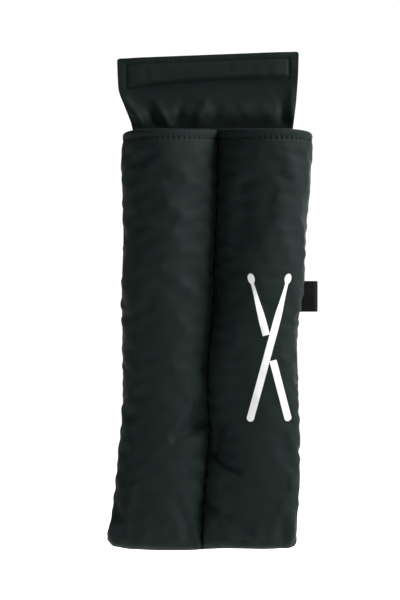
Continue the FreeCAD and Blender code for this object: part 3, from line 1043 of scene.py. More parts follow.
RIGHT_CREASES: tuple[Crease, ...] = (
    Hollow((0.38, 0.2740), (0.16, 0.2600), 5.5 * MM, 24.0 * MM, 6.0 * MM),
    Hollow((0.36, 0.2460), (0.14, 0.2400), 1.8 * MM, 10.0 * MM, 9.0 * MM),
    Hollow((0.32, 0.3100), (0.08, 0.2960), 2.6 * MM, 6.0 * MM, 9.0 * MM),
    Fold((0.27, 0.3380), (0.24, 0.3160), 1.8 * MM, 5.0 * MM),
    Fold((0.33, 0.0440), (0.58, 0.0360), 1.3 * MM, 6.0 * MM),
    Fold((0.34, 0.0900), (0.37, 0.0240), 1.1 * MM, 9.0 * MM),
    Fold((0.44, 0.1240), (0.30, 0.1420), 0.8 * MM, 7.0 * MM),
    Fold((1.00, 0.1490), (0.84, 0.1510), 2.2 * MM, 4.5 * MM),
    Fold((1.00, 0.2080), (0.86, 0.2000), 1.5 * MM, 4.5 * MM),
    Fold((1.00, 0.2620), (0.88, 0.2560), 1.1 * MM, 4.5 * MM),
    Fold((0.46, 0.3340), (0.52, 0.3060), 1.0 * MM, 7.0 * MM),
)


@dataclass
class Tube:
    """One padded tube: its cover, foam, lining and the stitches of its hem."""
    outline: BagOutline
    side: Side
    wardrobe: Wardrobe
    columns: int = 132
    body_rows: int = 210
    foot_rows: int = 34
    hem_drop: float = 7.0 * MM
    hem_groove: float = 1.3 * MM
    hem_pitch: float = 4.4 * MM
    wall: float = 6.0 * MM
    hem_reach: float = 9.5 * MM
    rim_rise: float = 3.4 * MM
    foot_round: float = 0.68
    foot_gap: float = 1.0 * MM
    slack: float = 0.22
    broad_wave: float = 0.9 * MM
    fine_wave: float = 0.40 * MM
    pucker_pitch: float = 13.0 * MM
    side_pucker: float = 0.25
    valley_pucker: float = 0.7
    gather_depth: float = 1.1 * MM
    inner_relief: float = 0.8
    foam_faces: tuple[float, float] = (1.3 * MM, 5.4 * MM)
    crowding: float = 0.1
    swelling: Optional[Swelling] = None
    cover: Object = field(init=False)
    hem_path: tuple[Array, Array] = field(init=False)

    def name(self, piece: str) -> str:
        """A piece's name with this tube's side."""
        return f"{self.side.name.lower()}_{piece}"

    @property
    def girth(self) -> float:
        """The cloth's length round the tube."""
        return 1.55 * self.outline.mouth_half

    def foot_profile(self, start_depth: float, inset: float, bottom: float) -> tuple[Array, Array]:
        """Drops and depths of the rows that close the foot, from the bottom seam up.

        Args:
            start_depth: The tube's depth where the foot starts to close.
            inset: How far the layer lies inside the cover.
            bottom: The drop of the bottom seam.

        Returns:
            The rows' drops and their depths.
        """
        turn = np.linspace(np.pi / 2.0, 0.0, self.foot_rows, endpoint=False)
        reach = bottom - self.outline.foot_drop
        drop = self.outline.foot_drop + reach * np.sin(turn) ** self.foot_round
        seam = self.outline.seam_depth
        depth = seam + (start_depth - seam) * np.maximum(np.cos(turn), 0.0) ** self.foot_round + inset
        return drop, depth

    def relief(self, around: Array, drop: Array) -> Array:
        """The wrinkles, puckers and quilted swell of the cover, along its normal.

        Args:
            around: Each point's share round the tube.
            drop: Its drop below the mouth.

        Returns:
            Heights along the normal.
        """
        seed = 11 if self.side is Side.LEFT else 23
        girth = self.girth
        arc = around * girth
        total = self.broad_wave * undulation(arc, drop * 0.6, 60.0 * MM, seed)
        total += self.fine_wave * undulation(arc * 0.7, drop * 1.3, 19.0 * MM, seed + 1)
        for crease in LEFT_CREASES if self.side is Side.LEFT else RIGHT_CREASES:
            total += crease.depth(around, drop, girth)
        if self.swelling is not None:
            total += self.swelling.read(around, drop)
        wander = undulation(np.zeros_like(arc), drop, 40.0 * MM, seed + 2)
        ripple = 0.5 + 0.5 * np.sin(TURN * drop / self.pucker_pitch + 2.4 * wander)
        at_side = np.exp(-((1.0 - around) * girth / (9.0 * MM)) ** 2)
        at_valley = np.exp(-(around * girth / (11.0 * MM)) ** 2)
        puckers = MM * ripple * (self.side_pucker * at_side + self.valley_pucker * at_valley)
        total = total * smooth_step(around, -0.02, 0.14) - puckers
        gather = undulation(arc, drop * 0.22, 16.0 * MM, seed + 3) * 1.3
        foot = smooth_step(drop, self.outline.length - 42.0 * MM, self.outline.length - 4.0 * MM)
        under = smooth_step(drop, self.outline.length - 2.0 * MM, self.outline.length - 14.0 * MM)
        total += self.gather_depth * gather * foot * (0.15 + 0.85 * under)
        rim = smooth_step(drop, 2.0 * MM, 22.0 * MM)
        rim = rim * smooth_step(self.outline.length - drop, 0.5 * MM, 9.0 * MM)
        held = 0.7 + 0.3 * np.cos(TURN * arc / self.hem_pitch)
        return total * rim - self.hem_groove * held * np.exp(-((drop - self.hem_drop) / (1.7 * MM)) ** 2)

    def fullness(self, drop: Array) -> Array:
        """The tube's share of its full depth at a drop: the empty lower half lies flatter."""
        return 1.0 - self.slack * smooth_step(drop, 0.40 * self.outline.length, 0.80 * self.outline.length)

    def rise(self, around: Array, drop: Array) -> Array:
        """How far the rim is drawn up towards the seam between the tubes.

        Args:
            around: Each point's share round the tube.
            drop: Its drop below the mouth.

        Returns:
            Lengths, positive upwards.
        """
        pull = np.where(around < 0.5, 1.0 - np.sin(np.pi * around), 0.0)
        return self.rim_rise * pull * np.exp(-np.maximum(drop, 0.0) / (28.0 * MM))

    def surface(self, around: Array, drop: Array, depth: Array, inset: Array, share: Array) -> Array:
        """A layer of the tube with its share of the relief.

        Args:
            around: Columns, 0 to 1.
            drop: Each row's drop.
            depth: Each row's depth.
            inset: Each row's inset.
            share: How much of the relief each row takes.

        Returns:
            A grid of points, rows first.
        """
        columns = around[None, :]
        rows = drop[:, None]
        full_depth = depth[:, None] * self.fullness(rows)
        points = self.outline.tube_point(self.side, columns, rows, full_depth, inset[:, None])
        normals = grid_normals(points) * self.side.value
        normals = np.where(normals[..., 1:2] > 0.35, 0.0, normals)
        points = points + normals * (self.relief(columns, rows) * share[:, None])[..., None]
        points[..., 2] += self.rise(columns, rows) - self.outline.sag(points[..., 0], rows)
        return points

    def columns_round(self) -> Array:
        """The columns' places, closer together near both seams."""
        even = np.linspace(0.0, 1.0, self.columns)
        return even - self.crowding * np.sin(TURN * even) / TURN

    def settle(self) -> None:
        """Finds how the cover swells between its seams, its hem and its foot by a cloth simulation."""
        full = self.outline.tube_depth
        foot_drop, foot_depth = self.foot_profile(full, 0.0, self.outline.length - self.foot_gap)
        foot_drop, foot_depth = foot_drop[::3], foot_depth[::3]
        straight = np.linspace(self.outline.foot_drop, self.hem_drop, 120)
        drop = np.concatenate([foot_drop, straight])
        depth = np.concatenate([foot_depth, np.full(len(straight), full)])
        points = self.surface(np.linspace(0.0, 1.0, 48), drop, depth, np.zeros(len(drop)), np.ones(len(drop)))
        held = np.zeros(points.shape[:2], bool)
        held[[0, -1], :] = held[:, [0, -1]] = True
        outward = grid_normals(points) * self.side.value
        moved = ClothSettling().run(points, held, outward, self.side is Side.RIGHT)
        order = np.argsort(drop)
        self.swelling = Swelling(moved[order], drop[order])

    def build_cover(self) -> Object:
        """The cover, from the bottom seam up, rolled over the rim and down inside as a hem.

        Returns:
            The cover.
        """
        full = self.outline.tube_depth
        foot_drop, foot_depth = self.foot_profile(full, 0.0, self.outline.length - self.foot_gap)
        rim_radius = self.wall / 2.0
        straight = np.linspace(self.outline.foot_drop, rim_radius, self.body_rows)
        turn = np.linspace(0.0, np.pi, 14)[1:-1]
        roll_drop = rim_radius * (1.0 - np.sin(turn))
        roll_inset = rim_radius * (1.0 - np.cos(turn))
        leg = np.linspace(rim_radius, self.hem_reach, 8)
        drop = np.concatenate([foot_drop, straight, roll_drop, leg])
        depth = np.concatenate([foot_depth, np.full(len(straight) + len(roll_drop) + len(leg), full)])
        leg_inset = self.wall - 0.7 * MM * smooth_step(leg, rim_radius, self.hem_drop)
        inset = np.concatenate([np.zeros(len(foot_drop) + len(straight)), roll_inset, leg_inset])
        share = np.concatenate([np.ones(len(foot_drop) + len(straight)), np.zeros(len(turn) + len(leg))])
        points = self.surface(self.columns_round(), drop, depth, inset, share)
        self.hem_path = self.row_at(points, len(foot_drop), straight)
        piece = sheet_mesh(self.name("cover"), points, flip=self.side is Side.RIGHT)
        self.cover = piece
        return dress(piece, self.wardrobe.shell, "shell_cloth", [self.name("front_shell")], "bag")

    def row_at(self, points: Array, offset: int, straight: Array) -> tuple[Array, Array]:
        """The row under the hem's stitches, as a path and its normals.

        Args:
            points: The cover's grid.
            offset: The number of rows below the straight ones.
            straight: Drops of the straight rows.

        Returns:
            The path and its normals.
        """
        index = offset + int(np.argmin(np.abs(straight - self.hem_drop)))
        normals = grid_normals(points)[index] * self.side.value
        return points[index], normals

    def build_padding(self) -> Object:
        """The foam between the cover and the lining, as one closed pad.

        Returns:
            The pad.
        """
        around = np.linspace(0.0, 1.0, 90)
        grids = []
        for inset, relief_share in zip(self.foam_faces, (1.0, self.inner_relief)):
            bottom = self.outline.length - 3.0 * MM - inset
            foot_drop, foot_depth = self.foot_profile(self.outline.tube_depth, 0.0, bottom)
            straight = np.linspace(self.outline.foot_drop, 3.2 * MM, 150)
            drop = np.concatenate([foot_drop, straight])
            depth = np.concatenate([foot_depth, np.full(len(straight), self.outline.tube_depth)])
            share = np.full(len(drop), relief_share)
            grids.append(self.surface(around, drop, depth, np.full(len(drop), inset), share))
        piece = slab_mesh(self.name("padding"), grids[0], grids[1], flip=self.side is Side.RIGHT)
        return dress(piece, self.wardrobe.foam, "foam", [self.name("front_padding")], "bag")

    def build_lining(self) -> Object:
        """The lining cloth inside the tube, closed at the foot.

        Returns:
            The lining.
        """
        around = np.linspace(0.0, 1.0, 80)
        inset = self.wall + 0.1 * MM
        foot_drop, foot_depth = self.foot_profile(self.outline.tube_depth, 0.0, self.outline.length - 9.0 * MM)
        straight = np.linspace(self.outline.foot_drop, self.hem_drop - 1.0 * MM, 120)
        drop = np.concatenate([foot_drop, straight])
        depth = np.concatenate([foot_depth, np.full(len(straight), self.outline.tube_depth)])
        share = np.full(len(drop), self.inner_relief)
        points = self.surface(around, drop, depth, np.full(len(drop), inset), share)
        piece = sheet_mesh(self.name("lining"), points, flip=self.side is Side.LEFT)
        return dress(piece, self.wardrobe.lining, "lining_cloth", [self.name("front_lining")], "bag")

    def build_hem_stitches(self) -> Object:
        """The row of stitches round the mouth, sunk in the hem's groove.

        Returns:
            The stitches.
        """
        path, normals = self.hem_path
        row = StitchRow(path, normals, pitch=self.hem_pitch, length=3.0 * MM, radius=0.55 * MM, margin=3.0 * MM)
        piece = stitched_rows(self.name("hem_stitches"), [row])
        return dress(piece, self.wardrobe.thread, "thread", [self.name("hem_stitching")], "bag")

    def build(self) -> None:
        """Builds the whole tube."""
        self.settle()
        self.build_cover()
        self.build_padding()
        self.build_lining()
        self.build_hem_stitches()


# ---- Back panel ---------------------------------------------------------------------------------------

@dataclass
class BackPanel:
    """The flat padded back: cover, foam, lining, the seam between the tubes and the loop tape."""
    outline: BagOutline
    wardrobe: Wardrobe
    edge_round: float = 2.4 * MM
    crown: float = 0.7 * MM
    seam_groove: float = 0.9 * MM
    edge_inset: float = 0.8 * MM
    side_pucker: float = 0.8 * MM
    seam_pucker: float = 0.35 * MM
    unevenness: float = 0.35 * MM
    settled: float = 0.2 * MM
    foam_rear: float = 2.0 * MM

    def plan(self, across: Array, drop: Array, inset: float) -> Array:
        """X of a column, -1 at the left edge, 0 at the middle seam and 1 at the right edge.

        Args:
            across: The columns.
            drop: Each row's drop.
            inset: How far the layer lies inside the bag's edges.

        Returns:
            Places in X.
        """
        seam = self.outline.seam_x(drop)
        left = seam - self.outline.edge_x(Side.LEFT, drop) - inset
        right = self.outline.edge_x(Side.RIGHT, drop) - seam - inset
        return seam + across * np.where(across < 0.0, left, right)

    def swell(self, across: Array, drop: Array) -> Array:
        """How far the rear face stands out at each point: a soft crown on each side of the middle seam.

        Args:
            across: The columns, -1 to 1.
            drop: Each row's drop.

        Returns:
            Heights, positive to the rear.
        """
        away = np.abs(across)
        from_seam, from_side = across * self.outline.mouth_half, (1.0 - away) * self.outline.mouth_half
        crown = self.crown * np.sin(np.pi * np.clip(away, 0.0, 1.0)) ** 0.6
        groove = -self.seam_groove * np.exp(-(from_seam / (1.6 * MM)) ** 2)
        level = smooth_step(drop, 52.0 * MM, 75.0 * MM)
        uneven = self.unevenness * undulation(from_seam, drop, 30.0 * MM, 41)
        wander = undulation(np.zeros_like(across + drop), drop, 40.0 * MM, 43)
        side_wave = 0.5 + 0.5 * np.sin(TURN * drop / (13.0 * MM) + 2.4 * wander)
        seam_wave = 0.5 + 0.5 * np.sin(TURN * drop / (9.0 * MM) + 2.0 * wander)
        pucker = -self.side_pucker * np.exp(-(from_side / (8.0 * MM)) ** 2) * side_wave
        pulled = -self.seam_pucker * np.exp(-(from_seam / (9.0 * MM)) ** 2) * seam_wave
        return (crown + uneven) * level - self.settled + groove + pucker + pulled * level

    def build_cover(self) -> Object:
        """The rear cover, rounded at its edges and turned over the top between the mouths and the flap.

        Returns:
            The cover.
        """
        turn = np.linspace(0.0, np.pi / 2.0, 7)
        flat = np.linspace(-1.0, 1.0, 150)[1:-1]
        across = np.concatenate([np.full(6, -1.0), flat, np.full(6, 1.0)])
        pulled_in = self.edge_round * (1 - np.sin(turn[:-1]))
        side_inset = np.concatenate([pulled_in, np.zeros(len(flat)), pulled_in[::-1]])
        turned = self.edge_round * (1 - np.cos(turn[1:]))
        across_fall = np.concatenate([turned[::-1], np.zeros(len(flat)), turned])
        roll = np.linspace(0.0, np.pi, 13)
        rim = self.outline.panel_depth / 2.0
        body = np.linspace(self.outline.length - self.edge_round, rim, 190)
        foot_turn = np.linspace(np.pi / 2.0, 0.0, 6, endpoint=False)
        foot_drop = self.outline.length - self.edge_round * (1.0 - np.sin(foot_turn))
        foot_fall = self.edge_round * (1.0 - np.cos(foot_turn))
        leg = np.linspace(rim, 9.0 * MM, 6)[1:]
        drop = np.concatenate([foot_drop, body, rim * (1.0 - np.sin(roll[1:])), leg])
        fall = np.concatenate([foot_fall, np.zeros(len(body)), rim * (1.0 - np.cos(roll[1:])),
                               np.full(len(leg), 2.0 * rim)])
        outside = np.concatenate([np.ones(len(foot_drop) + len(body)), np.zeros(len(roll) - 1 + len(leg))])
        columns, rows = across[None, :], drop[:, None]
        x = self.plan(columns, rows, self.edge_inset - 0.25 * side_inset[None, :])
        y = (self.swell(columns, rows) - across_fall[None, :]) * outside[:, None] - fall[:, None]
        z = -rows - self.outline.sag(x, rows)
        points = np.stack(np.broadcast_arrays(x, np.maximum(y, -self.outline.panel_depth), z), axis=-1)
        piece = sheet_mesh("back_cover", points, flip=True)
        return dress(piece, self.wardrobe.shell, "shell_cloth", ["back_shell"], "bag")

    def flat_layer(self, name: str, front: float, rear: float, inset: float, low: float) -> Object:
        """A flat closed layer of the panel between two depths.

        Args:
            name: The piece's name.
            front: Y of its front face.
            rear: Y of its rear face.
            inset: How far it lies inside the bag's edges.
            low: How far it ends above the foot.

        Returns:
            The layer.
        """
        across = np.linspace(-1.0, 1.0, 60)[None, :]
        drop = np.linspace(self.outline.length - low, 3.0 * MM, 110)[:, None]
        x = self.plan(across, drop, inset)
        z = -drop - self.outline.sag(x, drop)
        grids = [np.stack(np.broadcast_arrays(x, depth, z), axis=-1) for depth in (rear, front)]
        return slab_mesh(name, grids[0], grids[1], flip=True)

    def build_layers(self) -> None:
        """The foam and the lining of the panel."""
        deep = self.outline.panel_depth
        foam = self.flat_layer("back_foam", -deep + 0.5 * MM, -self.foam_rear, 3.0 * MM, 3.0 * MM)
        dress(foam, self.wardrobe.foam, "foam", ["back_padding"], "bag")
        lining = self.flat_layer("back_lining_cloth", -deep - 0.05 * MM, -deep + 0.4 * MM, 2.0 * MM, 5.0 * MM)
        dress(lining, self.wardrobe.lining, "lining_cloth", ["back_lining"], "bag")

    def build_seam(self) -> Object:
        """The seam between the tubes, stitched through to the back, with a gap under the loop tape.

        Returns:
            The stitches.
        """
        loop_low, loop_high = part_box("loop_strip")
        root_low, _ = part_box("flap_base")
        runs = [(-root_low.z + 1.0 * MM, -loop_high.z - 1.0 * MM),
                (-loop_low.z + 1.0 * MM, self.outline.length - 4.0 * MM)]
        rows = []
        for start, end in runs:
            drop = np.linspace(start, end, 120)
            x = self.outline.seam_x(drop)
            y = self.swell(np.zeros_like(drop), drop)
            normal = np.tile([0.0, 1.0, 0.0], (len(drop), 1))
            rows.append(StitchRow(np.stack([x, y, -drop], axis=-1), normal, lift=0.15 * MM))
        piece = stitched_rows("centre_seam_stitches", rows)
        return dress(piece, self.wardrobe.thread, "thread", ["centre_seam_stitching"], "bag")


@dataclass
class TapeStrip:
    """A strip of hook or loop tape with a woven edge, sewn flat on a face."""
    name: str
    node: str
    stitch_node: str
    finish: Material
    slot: str
    wardrobe: Wardrobe
    tuft: float = 1.4 * MM
    nap: float = 0.35 * MM
    selvedge: float = 1.5 * MM
    inset: float = 2.0 * MM

    def build(self, place: Placing, body: str, facing: Facing = Facing.REAR) -> tuple[Object, Object]:
        """Builds the tape and its stitched box.

        Args:
            place: Puts tape coordinates and a height on the face that it lies on.
            body: The body that it rides on.
            facing: The way its napped side looks.

        Returns:
            The tape and its stitches.
        """
        low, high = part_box(self.node)
        wide, tall, thick = high.x - low.x, high.z - low.z, high.y - low.y
        columns = np.linspace(0.0, wide, max(12, int(wide / (0.5 * self.tuft))))
        rows = np.linspace(0.0, tall, max(8, int(tall / (0.5 * self.tuft))))
        across, up = np.meshgrid(columns, rows)
        rim = np.minimum(np.minimum(across, wide - across), np.minimum(up, tall - up))
        bed = smooth_step(rim, 0.0, 0.9 * MM)
        draw = np.random.default_rng(len(self.name) * 7)
        tufts = np.where(rim > self.selvedge, draw.uniform(-0.5, 1.0, across.shape), 0.0) * self.nap
        sunk = np.exp(-((rim - self.inset) / (0.8 * MM)) ** 2) * 0.5 * MM
        height = 0.3 * thick + (0.68 * thick - self.nap) * bed + tufts - sunk
        top = place(low.x + across, low.z + up, facing.value * height)
        base = place(low.x + across, low.z + up, -facing.value * 0.2 * MM)
        tape = slab_mesh(self.name, top, base, flip=facing is Facing.REAR)
        dress(tape, self.finish, self.slot, [self.node], body)
        return tape, self.build_box(place, low, high, facing.value * (0.93 * thick - 0.6 * MM), body, facing)

    def build_box(self, place: Placing, low: Vector, high: Vector, height: float, body: str, facing: Facing
                  ) -> Object:
        """The box of stitches round the tape, a little inside its edges.

        Args:
            place: Puts tape coordinates and a height on the face.
            low: The tape's lower corner.
            high: Its upper corner.
            height: How far the stitches lie from the face.
            body: The body that they ride on.
            facing: The way the stitches look.

        Returns:
            The stitches.
        """
        left, right = low.x + self.inset, high.x - self.inset
        bottom, top = low.z + self.inset, high.z - self.inset
        corners = [((left, bottom), (right, bottom)), ((right, bottom), (right, top)),
                   ((right, top), (left, top)), ((left, top), (left, bottom))]
        rows = []
        for start, end in corners:
            x = np.linspace(start[0], end[0], 60)
            z = np.linspace(start[1], end[1], 60)
            path = place(x[None, :], z[None, :], np.full((1, 60), height))[0]
            normal = np.tile([0.0, float(facing.value), 0.0], (60, 1))
            rows.append(StitchRow(path, normal, margin=0.8 * MM))
        piece = stitched_rows(f"{self.name}_stitches", rows)
        return dress(piece, self.wardrobe.thread, "thread", [self.stitch_node], body)


# ---- Hanging flap -------------------------------------------------------------------------------------

@dataclass(frozen=True)
class Ridge:
    """A soft fold standing up from the flap's root, from a foot point to a head point in X and Z."""
    foot: tuple[float, float]
    head: tuple[float, float]
    proud: float
    foot_wide: float
    head_wide: float

    def height(self, x: Array, z: Array) -> Array:
        """How far the ridge stands out at each point.

        Args:
            x: Places across the flap.
            z: Heights above the fold.

        Returns:
            Heights, positive towards the front.
        """
        inside, offset = beside_line(x, z, self.foot, self.head)
        away = np.linalg.norm(offset, axis=-1)
        wide = self.foot_wide + (self.head_wide - self.foot_wide) * inside
        return self.proud * (1.0 - 0.85 * inside) * np.exp(-(away / wide) ** 2)


FLAP_RIDGES = (
    Ridge((-0.068, 0.002), (-0.084, 0.036), -4.0 * MM, 3.0 * MM, 3.4 * MM),
    Ridge((-0.060, 0.000), (-0.078, 0.036), 4.8 * MM, 3.4 * MM, 4.6 * MM),
    Ridge((-0.048, 0.002), (-0.062, 0.036), -4.8 * MM, 4.0 * MM, 4.6 * MM),
    Ridge((-0.039, 0.000), (-0.050, 0.030), 3.8 * MM, 3.4 * MM, 4.4 * MM),
    Ridge((-0.034, 0.010), (-0.026, 0.040), -2.6 * MM, 4.6 * MM, 3.6 * MM),
    Ridge((-0.020, 0.004), (-0.004, 0.040), 2.6 * MM, 4.0 * MM, 4.4 * MM),
    Ridge((-0.008, 0.000), (0.006, 0.034), -1.8 * MM, 4.0 * MM, 4.4 * MM),
    Ridge((0.010, 0.002), (0.024, 0.028), 1.4 * MM, 5.0 * MM, 7.0 * MM),
    Ridge((0.054, 0.000), (0.053, 0.026), -4.4 * MM, 3.6 * MM, 3.4 * MM),
    Ridge((0.062, 0.000), (0.061, 0.034), 2.8 * MM, 3.0 * MM, 3.0 * MM),
)


@dataclass
class HangingFlap:
    """The flap: its sewn root, the stretch that folds, two plies of cloth and the hook tape."""
    wardrobe: Wardrobe
    ply: float = 0.6 * MM
    tilt: float = 2.9 * MM
    lift: float = 0.9 * MM
    sag: float = 6.5 * MM
    corner: float = 2.2 * MM
    groove: float = 1.1 * MM
    step_forward: float = 2.4 * MM
    step_back: float = 4.0 * MM
    stand_off: float = 1.8 * MM
    rear_limit: float = 2.2 * MM
    left_draw: tuple[tuple[float, float], ...] = ((-0.22, 13.2), (0.0, 13.0), (0.11, 11.8), (0.30, 8.2),
                                                  (0.53, 4.0), (0.67, 1.2), (0.82, 0.2), (1.0, -0.4))
    right_draw: tuple[tuple[float, float], ...] = ((-0.22, 5.0), (0.0, 4.6), (0.23, 3.0), (0.39, 1.6),
                                                   (0.60, 0.4), (1.0, -0.6))
    split_rise: float = 0.0

    def __post_init__(self) -> None:
        """Reads the flap's sizes and its two fold lines from the frame."""
        self.root_low, self.root_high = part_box("flap_base")
        self.sheet_low, self.sheet_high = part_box("flap_front_ply")
        joints = {joint["name"]: joint for joint in frame["joints"]}
        self.fold = joints["flap_fold"]["pos_m"][2]
        self.turn = joints["flap_turn"]["pos_m"][2]
        self.split_rise = (self.fold + self.turn) / 2.0

    def edges(self, z: Array) -> tuple[Array, Array]:
        """X of the flap's left and right edges at a height: drawn in towards the root.

        Args:
            z: Heights above the fold.

        Returns:
            X of the left and of the right edge.
        """
        share = z / self.sheet_high.z
        left = self.sheet_low.x + MM * eased(self.left_draw, share)
        right = self.sheet_high.x - MM * eased(self.right_draw, share)
        past = np.clip((z - self.sheet_high.z) / self.corner + 1.0, 0.0, 1.0)
        corner = self.corner * (1.0 - np.sqrt(1.0 - past ** 2))
        return left + corner, right - corner

    def crumple(self, x: Array, z: Array) -> Array:
        """How far the cloth stands forward of flat, which is more near the root, where it is gathered.

        Args:
            x: Places across the flap.
            z: Heights above the fold.

        Returns:
            Distances towards the front.
        """
        total = sum(ridge.height(x, z) for ridge in FLAP_RIDGES)
        waves = undulation(x, z * 0.5, 26.0 * MM, 61) * smooth_step(z, 60.0 * MM, 30.0 * MM)
        total = total + 0.5 * MM * waves
        total = total + 0.16 * MM * undulation(x, z * 0.6, 8.0 * MM, 62)
        total = total + self.step_at_tape(x, z)
        rolled = np.exp(-((x - self.edges(z)[0]) / (6.0 * MM)) ** 2) * smooth_step(z, 34.0 * MM, 12.0 * MM)
        total = total - 4.5 * MM * rolled + self.stand_off * smooth_step(z, 26.0 * MM, 16.0 * MM)
        total = np.where(total < 0.0, self.rear_limit * np.tanh(total / self.rear_limit), total)
        return total * smooth_step(z, 4.0 * MM, 17.0 * MM) - self.stitched_groove(x, z)

    def step_at_tape(self, x: Array, z: Array) -> Array:
        """How far the cloth stands forward over the tape, and falls back past the tape's lower edge.

        Args:
            x: Places across the flap.
            z: Heights above the fold.

        Returns:
            The step, positive towards the front.
        """
        low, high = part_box("hook_strip")
        inward = smooth_step(np.minimum(x - low.x, high.x - x), -2.0 * MM, 14.0 * MM)
        over_tape = smooth_step(z, low.z - 4.0 * MM, low.z + 6.2 * MM)
        below = low.z - 4.0 * MM - z
        fallen = np.where(below < 0.0, 1.0 - over_tape, np.exp(-(below / (10.0 * MM)) ** 2))
        return (0.35 + 0.65 * inward) * (self.step_forward * over_tape - self.step_back * fallen)

    def stitched_groove(self, x: Array, z: Array) -> Array:
        """How deep the thread of the tape's box draws the cloth in.

        Args:
            x: Places across the flap.
            z: Heights above the fold.

        Returns:
            The groove's depth.
        """
        low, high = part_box("hook_strip")
        inset = 2.0 * MM
        left, right, bottom, top = low.x + inset, high.x - inset, low.z + inset, high.z - inset
        beside = np.maximum(np.maximum(left - x, x - right), 0.0)
        above = np.maximum(np.maximum(bottom - z, z - top), 0.0)
        outside = np.hypot(beside, above)
        inside = np.minimum(np.minimum(x - left, right - x), np.minimum(z - bottom, top - z))
        away = np.where(outside > 0.0, outside, np.maximum(inside, 0.0))
        return self.groove * np.exp(-(away / (1.3 * MM)) ** 2)

    def droop(self, x: Array, z: Array) -> Array:
        """How far points move up or down: the top edge tilts, and the left half sags.

        Args:
            x: Places across the flap.
            z: Heights above the fold.

        Returns:
            Distances upwards.
        """
        share = (x - self.sheet_low.x) / (self.sheet_high.x - self.sheet_low.x)
        height = np.clip(z / self.sheet_high.z, 0.0, 1.0)
        band = smooth_step(z, 62.0 * MM, 45.0 * MM) * smooth_step(z, 8.0 * MM, 40.0 * MM)
        raised = (self.tilt * (2.0 * share - 1.0) + self.lift) * height
        return raised - self.sag * np.clip(1.0 - share, 0.0, 1.0) ** 3 * band

    def face(self, x: Array, z: Array, height: Array) -> Array:
        """A point on the flap: height 0 is its front face at rest, and more is further to the rear."""
        y = height - self.crumple(x, z)
        return np.stack(np.broadcast_arrays(x, y, z + self.droop(x, z)), axis=-1)

    def cloth_grid(self, low: float, high: float, rows: int, height: float, inset: float = 0.0) -> Array:
        """A grid of the flap's cloth between two heights.

        Args:
            low: The lower height.
            high: The upper height.
            rows: How many rows the grid has.
            height: How far behind the front face it lies.
            inset: How far its side edges lie inside the flap's.

        Returns:
            The grid, rows first.
        """
        z = np.linspace(low, high, rows)[:, None]
        left, right = self.edges(z)
        share = np.linspace(0.0, 1.0, 190)[None, :]
        x = left + inset + (right - left - 2.0 * inset) * share
        return self.face(x, np.broadcast_to(z, x.shape), height)

    def build_root(self) -> None:
        """The root sewn to the back panel, up to the middle of the stretch that folds."""
        low = self.root_low.z
        outer = self.cloth_grid(low, self.split_rise, 26, 2.0 * self.ply)
        inner = self.cloth_grid(low, self.split_rise, 26, 0.0)
        piece = slab_mesh("flap_root", outer, inner, flip=True)
        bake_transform(piece)
        dress(piece, self.wardrobe.shell, "shell_cloth", ["flap_base", "flap_bend_fabric"])
        rows = []
        for z in (low + 2.5 * MM, -2.5 * MM):
            x = np.linspace(self.root_low.x + 2.5 * MM, self.root_high.x - 6.0 * MM, 90)
            path = self.face(x[None, :], np.full((1, 90), z), 2.0 * self.ply)[0]
            rows.append(StitchRow(path, np.tile([0.0, 1.0, 0.0], (90, 1)), lift=-0.05 * MM))
        stitches = stitched_rows("flap_root_stitches", rows)
        dress(stitches, self.wardrobe.thread, "thread", ["flap_base_stitching"], "bag")

    def build_plies(self) -> None:
        """The front and rear plies, from the middle of the folding stretch to the top edge."""
        top = self.sheet_high.z
        names = (("flap_front_cloth", "flap_front_ply", 0.0), ("flap_rear_cloth", "flap_rear_ply", self.ply))
        for name, node, start in names:
            front = self.cloth_grid(self.split_rise, top, 110, start)
            rear = self.cloth_grid(self.split_rise, top, 110, start + self.ply)
            piece = slab_mesh(name, rear, front, flip=True)
            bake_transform(piece)
            dress(piece, self.wardrobe.shell, "shell_cloth", [node])

    def build_tape(self) -> None:
        """The hook tape on the rear, with its stitched box showing on both sides."""
        rear = 2.0 * self.ply

        def on_rear(x: Array, z: Array, height: Array) -> Array:
            """Puts a tape point on the flap's rear face."""
            return self.face(x, z, rear + height)

        tape = TapeStrip("flap_hook_tape", "hook_strip", "hook_strip_stitching", self.wardrobe.hooks, "hook_tape",
                         self.wardrobe, tuft=1.3 * MM, nap=0.3 * MM)
        tape.build(on_rear, "flap")
        low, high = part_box("hook_strip")

        def on_front(x: Array, z: Array, height: Array) -> Array:
            """Puts a stitch on the flap's front face."""
            return self.face(x, z, height)

        box = TapeStrip("flap_front_box", "hook_strip", "hook_strip_stitching", self.wardrobe.hooks, "hook_tape",
                        self.wardrobe)
        box.build_box(on_front, low, high, 0.05 * MM, "flap", Facing.FRONT)

    def build(self) -> None:
        """Builds the whole flap."""
        self.build_root()
        self.build_plies()
        self.build_tape()


# ---- Strap --------------------------------------------------------------------------------------------

